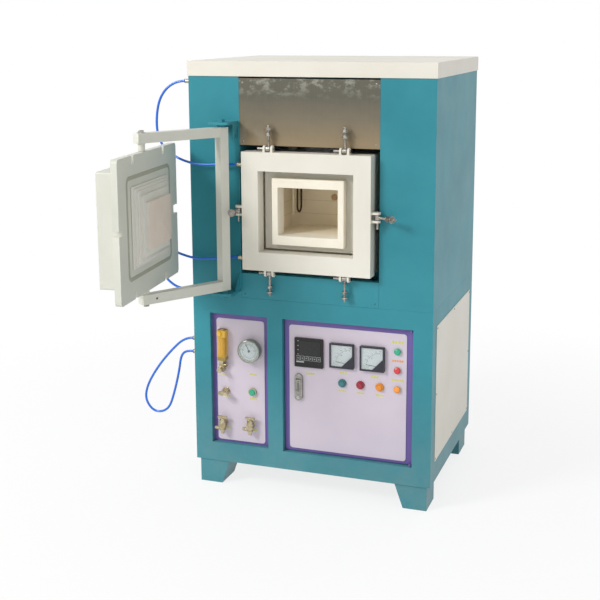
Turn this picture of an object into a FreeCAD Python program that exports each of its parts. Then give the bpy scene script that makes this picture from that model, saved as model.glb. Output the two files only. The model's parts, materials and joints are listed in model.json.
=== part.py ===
import FreeCAD, Part

import math
import os
import re

from FreeCAD import Placement, Rotation, Vector

# Atmosphere sintering furnace. Millimetres; X to the right, Y to the back, Z up,
# origin on the floor under the middle of the cabinet.
sizes = {
    # Cabinet
    "cabinet_width": 800,
    "cabinet_depth": 615,
    "foot_height": 80,
    "base_top": 647,
    "cabinet_top": 1353,
    "sheet_wall": 2,
    "bay_width": 457,
    "lid_height": 47,
    "lid_overhang": 3,
    "lid_flange": 25,
    "cover_wall": 1.5,
    "cover_lap": 15,
    "side_cover_inset": 52.5,
    "side_cover_end": 45.5,
    "side_cover_rise": 68,
    "side_cover_drop": 55,
    "back_cover_margin": 60,
    "back_cover_rise": 40,
    "back_cover_drop": 37,
    "rear_cover_rise": 43,
    "side_cover_front": "=-cabinet_depth / 2 + side_cover_inset",
    "side_cover_back": "=cabinet_depth / 2 - side_cover_end",
    "side_cover_low": "=foot_height + side_cover_rise",
    "side_cover_high": "=base_top - side_cover_drop",
    "back_cover_width": "=cabinet_width - 2 * back_cover_margin",
    "back_cover_low": "=foot_height + back_cover_rise",
    "back_cover_high": "=base_top - back_cover_drop",
    "rear_cover_low": "=base_top + rear_cover_rise",
    "rear_cover_high": "=cabinet_top - rear_cover_rise",
    "vent_length": 130,
    "vent_height": 6,
    "vent_pitch": 16,
    "vent_across": 150,
    "vent_fall": 45,
    "steel_plate_gap": 5,
    "steel_plate_lip": 48,
    "lower_plate_rise": 82,
    "lower_plate_lip": 38,
    "plate_return": 22,
    "steel_plate_high": "=cabinet_top - steel_plate_gap",
    "lower_plate_high": "=base_top + lower_plate_rise",
    # Feet
    "foot_inset": 12,
    "foot_width_top": 105,
    "foot_width_low": 77,
    "foot_setback": 4.5,
    "foot_length": 103,
    "foot_hole": 5.5,
    "foot_hole_depth": 30,
    "foot_outer": "=cabinet_width / 2 - foot_inset",
    "foot_inner_top": "=foot_outer - foot_width_top",
    "foot_inner_low": "=foot_outer - foot_width_low",
    "foot_front": "=cabinet_depth / 2 - foot_setback",
    "foot_rear": "=foot_front - foot_length",
    # Openings in the base
    "gas_inset": 58,
    "gas_width": 200,
    "gas_rise": 64,
    "gas_drop": 59,
    "panel_spacing": 51,
    "control_inset": 61,
    "control_rise": 61,
    "control_drop": 60,
    "gas_left": "=-cabinet_width / 2 + gas_inset",
    "gas_right": "=gas_left + gas_width",
    "gas_low": "=foot_height + gas_rise",
    "gas_high": "=base_top - gas_drop",
    "control_left": "=gas_right + panel_spacing",
    "control_right": "=cabinet_width / 2 - control_inset",
    "control_low": "=foot_height + control_rise",
    "control_high": "=base_top - control_drop",
    "sleeve_depth": 25,
    "panel_recess": 17.5,
    "panel_plate": 2,
    "face_plate": 2.5,
    "face_corner": 10,
    "hole_play": 0.3,
    # Vessel
    "vessel_gap": 18.5,
    "vessel_rise": 288.5,
    "vessel_height": 375,
    "flange_proud": 34.5,
    "flange_depth": 49,
    "vessel_reach": 362,
    "vessel_wall": 4,
    "flange_border": 55,
    "flange_rim": 59,
    "rail_first": 142,
    "rail_second": 302,
    "steel_plate_clear": 17,
    "rail_size": 30,
    "rail_wall": 3,
    "vessel_width": "=bay_width - 2 * vessel_gap",
    "vessel_centre": "=base_top + vessel_rise",
    "steel_plate_low": "=vessel_centre + vessel_height / 2 + steel_plate_clear",
    "flange_face": "=-cabinet_depth / 2 - flange_proud",
    "vessel_back": "=flange_face + vessel_reach",
    "mouth_width": "=vessel_width - 2 * flange_border",
    "mouth_height": "=vessel_height - 2 * flange_rim",
    "rail_front": "=flange_face + rail_first",
    "rail_rear": "=flange_face + rail_second",
    # Lining
    "board_play": 5,
    "board_depth": 30,
    "collar_inset": 24,
    "collar_depth": 56,
    "collar_margin": 32,
    "collar_drop": 18.5,
    "collar_wall": 20,
    "collar_lip": 29,
    "chamber_flare": 32,
    "chamber_depth": 162,
    "chamber_fall": 81.5,
    "chamber_rise": 94.5,
    "port_across": 18,
    "port_rise": 19.5,
    "port_radius": 11,
    "port_depth": 60,
    "hearth_play": 1,
    "board_width": "=mouth_width - 2 * board_play",
    "board_height": "=mouth_height - 2 * board_play",
    "collar_width": "=board_width - 2 * collar_margin",
    "collar_height": "=board_height - 2 * collar_drop",
    "collar_front": "=flange_face + collar_inset",
    "collar_back": "=collar_front + collar_depth",
    "collar_open_width": "=collar_width - 2 * collar_wall",
    "collar_open_height": "=collar_height - 2 * collar_lip",
    "chamber_width": "=collar_open_width + 2 * chamber_flare",
    "chamber_back": "=collar_back + chamber_depth",
    "chamber_low": "=vessel_centre - chamber_fall",
    "chamber_high": "=vessel_centre + chamber_rise",
    "port_level": "=vessel_centre + port_rise",
    # Heating elements and thermocouple
    "element_inset": 38.5,
    "element_gap": 34,
    "element_bend": 19,
    "element_radius": 3,
    "element_rise": 51,
    "element_proud": 42,
    "element_hole": 7,
    "terminal_radius": 10,
    "terminal_height": 22,
    "probe_inset": 37,
    "probe_gap": 90,
    "probe_rise": 57,
    "probe_radius": 4,
    "probe_head": 15,
    "probe_head_height": 35,
    "element_across": "=chamber_width / 2 - element_inset",
    "element_middle": "=chamber_back - element_gap",
    "element_low": "=chamber_low + element_rise",
    "element_top": "=vessel_centre + vessel_height / 2 + element_proud",
    "probe_across": "=-chamber_width / 2 + probe_inset",
    "probe_depth": "=chamber_back - probe_gap",
    "probe_low": "=chamber_low + probe_rise",
    # Swing bolts
    "bolt_corner": 86,
    "bolt_reach": 10,
    "bolt_side_reach": 17,
    "bolt_setback": 16,
    "bolt_length": 73,
    "bolt_radius": 4,
    "eye_radius": 9.5,
    "eye_width": 13,
    "ear_radius": 10.5,
    "ear_wall": 7,
    "ear_offset": 12.5,
    "pin_stub": 36,
    "pin_end": 19,
    "pin_play": 0.05,
    "clamp_nut_place": 40,
    "outer_nut_place": 58,
    "nut_radius": 7.5,
    "nut_height": 6.5,
    "nut_flange": 10,
    "washer_radius": 12,
    "washer_wall": 2,
    "right_bolt_angle": 27,
    "bolt_across": "=vessel_width / 2 - bolt_corner",
    # Yoke and its hinge
    "hinge_inset": 36.5,
    "hinge_proud": 21,
    "arm_length": 286,
    "arm_past": 17,
    "arm_angle": 238,
    "tube_size": 30,
    "yoke_fall": 252.5,
    "yoke_rise": 264.5,
    "hinge_pin": 7,
    "hinge_pin_depth": 28,
    "pin_head_lap": 5,
    "pin_head_height": 8,
    "bracket_wall": 8,
    "bracket_gap": 8,
    "bracket_reach": 35,
    "bracket_inner": 33,
    "bracket_past": 25,
    "bracket_corner": 9,
    "gusset_wall": 6,
    "gusset_height": 53,
    "gusset_reach": 34,
    "gusset_tip": 1,
    "spacer_wall": 6,
    "arm_hole": 3.5,
    "arm_hole_place": 29,
    "arm_hole_depth": 9,
    "seat_gap": 0.3,
    "hinge_across": "=-bay_width / 2 - hinge_inset",
    "hinge_depth": "=flange_face - hinge_proud",
    "yoke_low": "=vessel_centre - yoke_fall",
    "yoke_high": "=vessel_centre + yoke_rise",
    "bracket_left": "=hinge_across - bracket_reach",
    "bracket_right": "=hinge_across + bracket_inner",
    # Door
    "door_lap": 30,
    "door_overlap": 22.5,
    "door_wall": 20,
    "door_corner": 12,
    "pivot_setback": 12,
    "door_gap": 1,
    "door_angle": -83.9,
    "pivot_pin": 6,
    "pivot_pin_depth": 35,
    "pivot_proud": 6,
    "pivot_nut_height": 7,
    "bush_radius": 10,
    "slot_width": 16,
    "slot_depth": 24.5,
    "free_notch_depth": 24,
    "hinge_notch_depth": 34,
    "hinge_notch_height": 28,
    "casing_margin": 35,
    "casing_rim": 40,
    "casing_depth": 60,
    "casing_corner": 6,
    "gasket_lap": 25,
    "gasket_rise": 24.5,
    "gasket_band": 12,
    "gasket_groove": 4,
    "gasket_proud": 0.5,
    "plug_play": 7,
    "nose_play": 8,
    "nose_fall": 6,
    "plug_base_proud": 5,
    "plug_step_proud": 14,
    "plug_nose_proud": 34,
    "door_width": "=vessel_width + 2 * door_lap",
    "door_height": "=vessel_height + 2 * door_overlap",
    "casing_width": "=door_width - 2 * casing_margin",
    "casing_height": "=door_height - 2 * casing_rim",
    "gasket_width": "=mouth_width + 2 * gasket_lap",
    "gasket_height": "=mouth_height + 2 * gasket_rise",
    "plug_base_width": "=mouth_width - 2 * plug_play",
    "plug_base_height": "=mouth_height - 2 * plug_play",
    "plug_step_width": "=collar_width",
    "plug_step_height": "=collar_height",
    "plug_nose_width": "=collar_open_width - 2 * nose_play",
    "plug_nose_height": "=collar_open_height - 2 * nose_fall",
    # Gas panel
    "face_inset": 16,
    "face_margin": 16.5,
    "face_rise": 8,
    "face_drop": 19,
    "flow_inset": 28,
    "flow_width": 28,
    "flow_fall": 156,
    "flow_height": 102,
    "flow_proud": 30,
    "flow_foot_height": 42,
    "flow_foot_proud": 20,
    "flow_foot_step": 8,
    "flow_tube": 5,
    "flow_end": 12,
    "flow_corner": 3,
    "float_radius": 4.8,
    "float_length": 14,
    "flow_knob_rise": 11,
    "flow_knob_radius": 9,
    "flow_knob_length": 16,
    "spindle_radius": 3,
    "spindle_depth": 11,
    "spindle_way": 13,
    "gauge_inset": 62,
    "gauge_fall": 117,
    "gauge_radius": 39,
    "gauge_proud": 28,
    "gauge_dial": 35,
    "gauge_dial_depth": 7,
    "gauge_post": 5,
    "gauge_needle_length": 27,
    "gauge_needle_angle": 115,
    "valve_inset": 47,
    "valve_rise": 178,
    "valve_radius": 9,
    "valve_hex": 13,
    "valve_hex_height": 6,
    "valve_proud": 22,
    "valve_knob_radius": 7.5,
    "valve_knob_length": 14,
    "wing_reach": 16,
    "wing_height": 9,
    "wing_corner": 4,
    "wing_setback": 3,
    "inlet_inset": 40,
    "inlet_rise": 66,
    "outlet_inset": 62,
    "outlet_rise": 72,
    "ball_radius": 10,
    "ball_stem_radius": 7,
    "ball_stand": 20,
    "ball_height": 36,
    "ball_neck": 4,
    "nozzle_length": 12,
    "barb_length": 16,
    "barb_fall": 12,
    "tee_reach": 17,
    "tee_width": 8,
    "tee_height": 7,
    "tee_corner": 3.5,
    "post_depth": 7,
    "gas_button_inset": 58,
    "gas_button_rise": 184,
    "gas_face_left": "=gas_left + face_inset",
    "gas_face_right": "=gas_right - face_margin",
    "gas_face_low": "=gas_low + face_rise",
    "gas_face_high": "=gas_high - face_drop",
    "flow_left": "=gas_left + flow_inset",
    "flow_right": "=flow_left + flow_width",
    "flow_low": "=gas_high - flow_fall",
    "flow_high": "=flow_low + flow_height",
    "flow_foot": "=flow_low - flow_foot_height",
    "flow_knob_place": "=flow_foot + flow_knob_rise",
    "gauge_across": "=gas_right - gauge_inset",
    "gauge_place": "=gas_high - gauge_fall",
    "valve_across": "=gas_left + valve_inset",
    "valve_place": "=gas_low + valve_rise",
    "inlet_across": "=gas_left + inlet_inset",
    "inlet_place": "=gas_low + inlet_rise",
    "outlet_across": "=gas_right - outlet_inset",
    "outlet_place": "=gas_low + outlet_rise",
    "gas_button_across": "=gas_right - gas_button_inset",
    "gas_button_place": "=gas_low + gas_button_rise",
    # Control door
    "control_gap": 2.5,
    "control_rim": 12,
    "control_hinge_inset": 7,
    "control_hinge_set": 6.5,
    "pintle_radius": 2.5,
    "pintle_length": 9,
    "control_ear": 6,
    "control_margin": 19,
    "control_edge": 23,
    "control_sill": 12,
    "control_head": 19,
    "controller_share": 0.202326,
    "controller_fall": 107,
    "controller_size": 96,
    "controller_proud": 7.5,
    "controller_corner": 3,
    "controller_body": 90,
    "controller_depth": 85,
    "window_size": 84,
    "window_depth": 1.2,
    "meter_first_share": 0.459302,
    "meter_second_share": 0.69186,
    "meter_fall": 106,
    "meter_size": 80,
    "meter_corner": 3,
    "meter_proud": 11.5,
    "meter_barrel": 30,
    "meter_barrel_depth": 40,
    "dial_size": 70,
    "dial_depth": 5,
    "corner_cover": 35,
    "corner_tip": 1,
    "corner_wall": 2,
    "needle_inset": 26,
    "needle_length": 46,
    "needle_width": 1.6,
    "needle_wall": 0.8,
    "needle_hub": 4,
    "needle_post": 1,
    "needle_angle": 172,
    "lamp_share": 0.87907,
    "lamp_top_fall": 76,
    "lamp_middle_fall": 137,
    "lamp_low_fall": 198.5,
    "lamp_lens": 11,
    "lamp_ring": 13.5,
    "lamp_ring_height": 3,
    "lamp_proud": 11,
    "barrel_radius": 11,
    "barrel_depth": 40,
    "button_first_share": 0.460465,
    "button_second_share": 0.6,
    "button_third_share": 0.746512,
    "button_fall": 197,
    "button_radius": 9,
    "button_ring": 13.5,
    "button_ring_proud": 8,
    "button_proud": 11,
    "button_length": 10,
    "button_travel": 4,
    "button_play": 0.2,
    "lock_share": 0.119767,
    "lock_fall": 179,
    "lock_height": 90,
    "lock_width": 26,
    "lock_rim": 3,
    "lock_proud": 8,
    "lock_body_depth": 16,
    "handle_width": 15,
    "handle_wall": 5,
    "handle_play": 0.5,
    "handle_fall": 20,
    "handle_height": 48,
    "handle_pin": 1.25,
    "handle_bite": 2,
    "lock_button_rise": 11,
    "lock_button_radius": 5.5,
    "lock_button_length": 6,
    "lock_button_way": 9,
    "control_hinge_depth": "=-cabinet_depth / 2 + control_hinge_set",
    "control_wide": "=control_right - control_left",
    "control_face_left": "=control_left + control_margin",
    "control_face_right": "=control_right - control_edge",
    "control_face_low": "=control_low + control_sill",
    "control_face_high": "=control_high - control_head",
    "controller_across": "=control_left + controller_share * control_wide",
    "controller_place": "=control_high - controller_fall",
    "meter_first": "=control_left + meter_first_share * control_wide",
    "meter_second": "=control_left + meter_second_share * control_wide",
    "meter_place": "=control_high - meter_fall",
    "lamp_across": "=control_left + lamp_share * control_wide",
    "lamp_top": "=control_high - lamp_top_fall",
    "lamp_middle": "=control_high - lamp_middle_fall",
    "lamp_low": "=control_high - lamp_low_fall",
    "button_first": "=control_left + button_first_share * control_wide",
    "button_second": "=control_left + button_second_share * control_wide",
    "button_third": "=control_left + button_third_share * control_wide",
    "button_place": "=control_high - button_fall",
    "lock_across": "=control_left + lock_share * control_wide",
    "lock_high": "=control_high - lock_fall",
    "lock_low": "=lock_high - lock_height",
    "handle_top": "=lock_high - handle_fall",
    "handle_low": "=handle_top - handle_height",
    "lock_button_place": "=lock_low + lock_button_rise",
    # Hose fittings and the mains gland
    "fitting_radius": 5,
    "fitting_hex": 9,
    "fitting_hex_wall": 5,
    "fitting_socket": 6.5,
    "fitting_reach": 18,
    "fitting_inside": 12,
    "hose_radius": 4,
    "feed_inset": 19.5,
    "feed_drop": 17,
    "return_inset": 17.5,
    "return_rise": 10,
    "loop_inset": 35.5,
    "loop_drop": 161,
    "loop_gap": 46,
    "port_inset": 12,
    "feed_port_rise": 145.5,
    "return_port_fall": 151.5,
    "gland_inset": 70,
    "gland_rise": 20,
    "gland_radius": 12,
    "gland_wall": 3,
    "gland_lap": 2,
    "gland_hex_height": 7,
    "gland_cap_height": 16,
    "gland_taper": 4,
    "gland_inside": 12,
    "gland_bore": 5,
    "feed_depth": "=-cabinet_depth / 2 + feed_inset",
    "feed_place": "=cabinet_top - feed_drop",
    "return_depth": "=-cabinet_depth / 2 + return_inset",
    "return_place": "=base_top + return_rise",
    "loop_depth": "=-cabinet_depth / 2 + loop_inset",
    "loop_high": "=base_top - loop_drop",
    "loop_low": "=loop_high - loop_gap",
    "flange_port_depth": "=flange_face + port_inset",
    "feed_port": "=vessel_centre + feed_port_rise",
    "return_port": "=vessel_centre - return_port_fall",
    "gland_across": "=-cabinet_width / 2 + gland_inset",
    "gland_place": "=foot_height + gland_rise",
    # Electrical unit in the base
    "unit_inset": 80,
    "unit_width": 360,
    "unit_back": 207.5,
    "unit_drop": 107,
    "unit_wall": 3,
    "unit_foot": 40,
    "device_fall": 60,
    "breaker_place": 40,
    "breaker_width": 72,
    "breaker_depth": 70,
    "breaker_height": 80,
    "contactor_place": 160,
    "contactor_width": 80,
    "contactor_depth": 90,
    "contactor_height": 90,
    "regulator_place": 270,
    "regulator_width": 75,
    "regulator_depth": 60,
    "regulator_height": 130,
    "core_gap": 160,
    "core_width": 180,
    "core_depth": 110,
    "core_height": 150,
    "core_leg": 30,
    "coil_radius": 43,
    "coil_wall": 14,
    "coil_proud": 25,
    "stand_width": 60,
    "stand_low": 20,
    "stand_high": 45,
    "unit_right": "=cabinet_width / 2 - unit_inset",
    "unit_left": "=unit_right - unit_width",
    "unit_depth": "=cabinet_depth / 2 - unit_back",
    "unit_high": "=base_top - unit_drop",
    "core_middle": "=unit_depth - core_gap",
}

doc = FreeCAD.newDocument("SinteringFurnace")
sheet = doc.addObject("Spreadsheet::Sheet", "Sizes")
for row, (word, value) in enumerate(sizes.items(), start=1):
    sheet.set(f"A{row}", word)
    sheet.set(f"B{row}", str(value))
    sheet.setAlias(f"B{row}", word)
doc.recompute()

pieces = []


def size(word):
    # A size read back from the sheet.
    return float(sheet.get(word))


def linked(text):
    # The text of an expression with each size's name pointing at the sheet.
    return re.sub(r"\b[a-z]+(?:_[a-z]+)+\b", lambda found: "Sizes." + found.group(0), str(text))


def about(width, centre="0"):
    # The two planes at half a width on each side of a centre.
    return (f"{centre} - ({width}) / 2", f"{centre} + ({width}) / 2")


def place(item, point):
    for axis, value in zip("xyz", point):
        item.setExpression(f"Placement.Base.{axis}", linked(value))


def block(name, x, y, z):
    # A box between two planes on each axis.
    item = doc.addObject("Part::Box", name)
    for side, (low, high) in zip(("Length", "Width", "Height"), (x, y, z)):
        item.setExpression(side, linked(f"({high}) - ({low})"))
    place(item, (x[0], y[0], z[0]))
    return item


def rod(name, radius, start, length, direction=(0, 0, 1)):
    # A round bar from the middle of its first end.
    item = doc.addObject("Part::Cylinder", name)
    item.setExpression("Radius", linked(radius))
    item.setExpression("Height", linked(length))
    item.Placement = Placement(Vector(), Rotation(Vector(0, 0, 1), Vector(*direction)))
    place(item, start)
    return item


def hexagon(name, radius, start, length, direction=(0, 0, 1)):
    item = doc.addObject("Part::Prism", name)
    item.Polygon = 6
    item.setExpression("Circumradius", linked(radius))
    item.setExpression("Height", linked(length))
    item.Placement = Placement(Vector(), Rotation(Vector(0, 0, 1), Vector(*direction)))
    place(item, start)
    return item


def fuse(name, *shapes):
    item = doc.addObject("Part::MultiFuse", name)
    item.Shapes = list(shapes)
    return item


def cut(name, base, *tools):
    item = doc.addObject("Part::Cut", name)
    item.Base = base
    item.Tool = tools[0] if len(tools) == 1 else fuse(name + "Tools", *tools)
    return item


def group(name, *shapes):
    # Separate solids that share one node.
    item = doc.addObject("Part::Compound", name)
    item.Links = list(shapes)
    return item


def rounded(name, base, radius, axis):
    # The straight edges that run along one axis, rounded.
    doc.recompute()
    along = Vector(*axis)
    edges = []
    for number, edge in enumerate(base.Shape.Edges, start=1):
        run = edge.Vertexes[-1].Point - edge.Vertexes[0].Point
        if run.Length > 0 and abs(run.dot(along)) > 0.999 * run.Length:
            edges.append((number, radius, radius))
    item = doc.addObject("Part::Fillet", name)
    item.Base = base
    item.Edges = edges
    return item


def keep(label, item):
    # Names a finished sub-part.
    item.Label = label
    pieces.append(item)
    return item


front = "(-cabinet_depth / 2)"
back = "(cabinet_depth / 2)"
side = "(cabinet_width / 2)"
panel_front = f"({front} + panel_recess)"
face_front = f"({panel_front} - face_plate)"
clear = "20"
hair = 0.01


def base_cabinet():
    outer = block(
        "BaseOuter",
        about("cabinet_width"),
        about("cabinet_depth"),
        ("foot_height", "base_top"),
    )
    inner = block(
        "BaseInner",
        about("cabinet_width - 2 * sheet_wall"),
        about("cabinet_depth - 2 * sheet_wall"),
        ("foot_height + sheet_wall", "base_top - sheet_wall"),
    )
    shell = cut("BaseShell", outer, inner)
    sleeves = []
    openings = []
    for name, left, right, low, high in (
        ("Gas", "gas_left", "gas_right", "gas_low", "gas_high"),
        ("Control", "control_left", "control_right", "control_low", "control_high"),
    ):
        sleeves.append(
            block(
                name + "Sleeve",
                (f"{left} - sheet_wall", f"{right} + sheet_wall"),
                (front, f"{front} + sleeve_depth"),
                (f"{low} - sheet_wall", f"{high} + sheet_wall"),
            )
        )
        openings.append(
            block(
                name + "Opening",
                (left, right),
                (f"{front} - {clear}", f"{front} + sleeve_depth + {clear}"),
                (low, high),
            )
        )
    side_way = block(
        "SideOpening",
        about(f"cabinet_width + {clear}"),
        ("side_cover_front + cover_lap", "side_cover_back - cover_lap"),
        ("side_cover_low + cover_lap", "side_cover_high - cover_lap"),
    )
    back_way = block(
        "BackOpening",
        about("back_cover_width - 2 * cover_lap"),
        (f"{back} - {clear}", f"{back} + {clear}"),
        ("back_cover_low + cover_lap", "back_cover_high - cover_lap"),
    )
    holes = [
        rod(
            "LoopHoleHigh",
            "fitting_radius",
            (f"-{side} - 1", "loop_depth", "loop_high"),
            "sheet_wall + 2",
            (1, 0, 0),
        ),
        rod(
            "LoopHoleLow",
            "fitting_radius",
            (f"-{side} - 1", "loop_depth", "loop_low"),
            "sheet_wall + 2",
            (1, 0, 0),
        ),
        rod(
            "GlandHole",
            "gland_radius - gland_wall",
            ("gland_across", f"{back} - sheet_wall - 1", "gland_place"),
            "sheet_wall + 2",
            (0, 1, 0),
        ),
    ]
    sheet_work = cut(
        "BaseSheet",
        fuse("BaseFolded", shell, *sleeves),
        side_way,
        back_way,
        *openings,
        *holes,
    )
    hinge = ("control_right - control_hinge_inset", "control_hinge_depth")
    low_pin = rod("PintleLow", "pintle_radius", (*hinge, "control_low"), "pintle_length")
    high_pin = rod(
        "PintleHigh",
        "pintle_radius",
        (*hinge, "control_high - pintle_length"),
        "pintle_length",
    )
    keep("base_cabinet", fuse("BaseCabinet", sheet_work, low_pin, high_pin))


def upper_cabinet():
    rise = ("base_top", "cabinet_top")
    past = (f"base_top - {clear}", f"cabinet_top + {clear}")
    outer = block("UpperOuter", about("cabinet_width"), about("cabinet_depth"), rise)
    bay = block("Bay", about("bay_width"), (f"{front} - {clear}", f"{back} - sheet_wall"), past)
    hollows = []
    for hand, sign in (("Left", "-"), ("Right", "")):
        near = f"{sign}(bay_width / 2 + sheet_wall)"
        far = f"{sign}({side} - sheet_wall)"
        ends = (far, near) if hand == "Left" else (near, far)
        hollows.append(
            block(hand + "Hollow", ends, (f"{front} + sheet_wall", f"{back} - sheet_wall"), past),
        )
    back_way = block(
        "UpperBackOpening",
        about("back_cover_width - 2 * cover_lap"),
        (f"{back} - sheet_wall - 1", f"{back} + {clear}"),
        ("rear_cover_low + cover_lap", "rear_cover_high - cover_lap"),
    )
    high_hole = rod(
        "FeedHole",
        "fitting_radius",
        (f"-{side} - 1", "feed_depth", "feed_place"),
        "sheet_wall + 2",
        (1, 0, 0),
    )
    low_hole = rod(
        "ReturnHole",
        "fitting_radius",
        (f"-{side} - 1", "return_depth", "return_place"),
        "sheet_wall + 2",
        (1, 0, 0),
    )
    keep("upper_cabinet", cut("UpperCabinet", outer, bay, *hollows, back_way, high_hole, low_hole))


def top_cover():
    reach = "cabinet_width + 2 * lid_overhang"
    depth = "cabinet_depth + 2 * lid_overhang"
    lid_top = "cabinet_top + lid_height"
    outer = block("LidOuter", about(reach), about(depth), ("cabinet_top", lid_top))
    inner = block(
        "LidInner",
        about(f"{reach} - 2 * sheet_wall"),
        about(f"{depth} - 2 * sheet_wall"),
        ("cabinet_top + sheet_wall", f"{lid_top} - sheet_wall"),
    )
    way = block(
        "LidWay",
        about(f"{reach} - 2 * lid_flange"),
        about(f"{depth} - 2 * lid_flange"),
        (f"cabinet_top - {clear}", "cabinet_top + 2 * sheet_wall"),
    )
    keep("top_cover", cut("TopCover", outer, inner, way))


def front_plates():
    for label, name, low, high, lip in (
        ("steel_front_plate", "Steel", "steel_plate_low", "steel_plate_high", "steel_plate_lip"),
        ("lower_front_plate", "Lower", "base_top", "lower_plate_high", "lower_plate_lip"),
    ):
        across = about("bay_width")
        sheet_front = block(name + "Face", across, (front, f"{front} + sheet_wall"), (low, high))
        left = block(
            name + "Left",
            (across[0], f"{across[0]} + sheet_wall"),
            (front, f"{front} + plate_return"),
            (low, high),
        )
        right = block(
            name + "Right",
            (f"{across[1]} - sheet_wall", across[1]),
            (front, f"{front} + plate_return"),
            (low, high),
        )
        level = (low, f"{low} + sheet_wall") if name == "Steel" else (f"{high} - sheet_wall", high)
        shelf = block(name + "Lip", across, (front, f"{front} + {lip}"), level)
        keep(label, fuse(name + "Plate", sheet_front, left, right, shelf))


def cover_panels():
    covers = []
    for name, x in (
        ("RightCover", (side, f"{side} + cover_wall")),
        ("LeftCover", (f"-{side} - cover_wall", f"-{side}")),
    ):
        covers.append(
            block(name, x, ("side_cover_front", "side_cover_back"), ("side_cover_low", "side_cover_high"))
        )
    for name, low, high in (
        ("BackCover", "back_cover_low", "back_cover_high"),
        ("RearCover", "rear_cover_low", "rear_cover_high"),
    ):
        plate = block(name, about("back_cover_width"), (back, f"{back} + cover_wall"), (low, high))
        vents = []
        for hand, middle in (("Left", "-vent_across"), ("Right", "vent_across")):
            for row in range(5):
                top = f"{high} - vent_fall - {row} * vent_pitch"
                y = (f"{back} - 1", f"{back} + cover_wall + 1")
                vents.append(
                    block(
                        f"{name}{hand}Vent{row}",
                        about("vent_length", middle),
                        y,
                        (f"{top} - vent_height", top),
                    ),
                )
        covers.append(cut(name + "Vented", plate, *vents))
    keep("cover_panels", group("CoverPanels", *covers))


def feet():
    # Each foot is a wedge whose inner side slopes outward towards the floor, with a hole for a floor bolt.
    made = []
    for name, hand, near, far in (
        ("FootFrontRight", 1, "foot_rear", "foot_front"),
        ("FootFrontLeft", -1, "foot_rear", "foot_front"),
        ("FootBackRight", 1, "-foot_front", "-foot_rear"),
        ("FootBackLeft", -1, "-foot_front", "-foot_rear"),
    ):
        foot = doc.addObject("Part::Wedge", name)
        ends = ("foot_inner_low", "foot_outer") if hand > 0 else ("-foot_outer", "-foot_inner_low")
        tops = ("foot_inner_top", "foot_outer") if hand > 0 else ("-foot_outer", "-foot_inner_top")
        for word, value in (
            ("Xmin", ends[0]), ("Xmax", ends[1]), ("X2min", tops[0]), ("X2max", tops[1]),
            ("Zmin", near), ("Zmax", far), ("Z2min", near), ("Z2max", far),
            ("Ymin", "0"), ("Ymax", "foot_height"),
        ):
            foot.setExpression(word, linked(value))
        foot.Placement = Placement(Vector(), Rotation(Vector(1, 0, 0), 90))
        spot = (f"(({ends[0]}) + ({ends[1]})) / 2", f"-(({near}) + ({far})) / 2", -1)
        hole = rod(name + "Hole", "foot_hole", spot, "foot_hole_depth + 1")
        made.append(cut(name + "Drilled", foot, hole))
    keep("feet", group("Feet", *made))


vessel_z = about("vessel_height", "vessel_centre")
flange_back = "(flange_face + flange_depth)"
bolt_depth = "(flange_face + bolt_setback)"
bolt_top = "(vessel_centre + vessel_height / 2 + bolt_reach)"
bolt_low = "(vessel_centre - vessel_height / 2 - bolt_reach)"
bolt_side = "(vessel_width / 2 + bolt_side_reach)"


def ear_pair(name, x, z, along):
    # Two rounded ears that hold a bolt's pin; along is the pin's axis, and the ears start inside the flange.
    ears = []
    for number, offset in enumerate(("-ear_offset", "ear_offset"), start=1):
        wall = about("ear_wall", offset)
        if along == "x":
            inward = f"{z} - bolt_reach" if z == bolt_top else z
            outward = z if z == bolt_top else f"{z} + bolt_reach"
            ears.append(
                block(
                    f"{name}Web{number}",
                    (f"{x} + {wall[0]}", f"{x} + {wall[1]}"),
                    about("2 * ear_radius", bolt_depth),
                    (inward, outward),
                ),
            )
            ears.append(
                rod(
                    f"{name}Round{number}",
                    "ear_radius",
                    (f"{x} + {wall[0]}", bolt_depth, z),
                    "ear_wall",
                    (1, 0, 0),
                ),
            )
        else:
            reach = (x, f"{x} + bolt_side_reach") if x.startswith("-") else (f"{x} - bolt_side_reach", x)
            ears.append(
                block(
                    f"{name}Web{number}",
                    reach,
                    about("2 * ear_radius", bolt_depth),
                    (f"{z} + {wall[0]}", f"{z} + {wall[1]}"),
                ),
            )
            ears.append(
                rod(
                    f"{name}Round{number}",
                    "ear_radius",
                    (x, bolt_depth, f"{z} + {wall[0]}"),
                    "ear_wall",
                ),
            )
    return ears


bolt_places = (
    ("TopLeft", "-bolt_across", bolt_top, "x"),
    ("TopRight", "bolt_across", bolt_top, "x"),
    ("LowLeft", "-bolt_across", bolt_low, "x"),
    ("LowRight", "bolt_across", bolt_low, "x"),
    ("Left", f"-{bolt_side}", "vessel_centre", "z"),
    ("Right", bolt_side, "vessel_centre", "z"),
)


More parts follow.
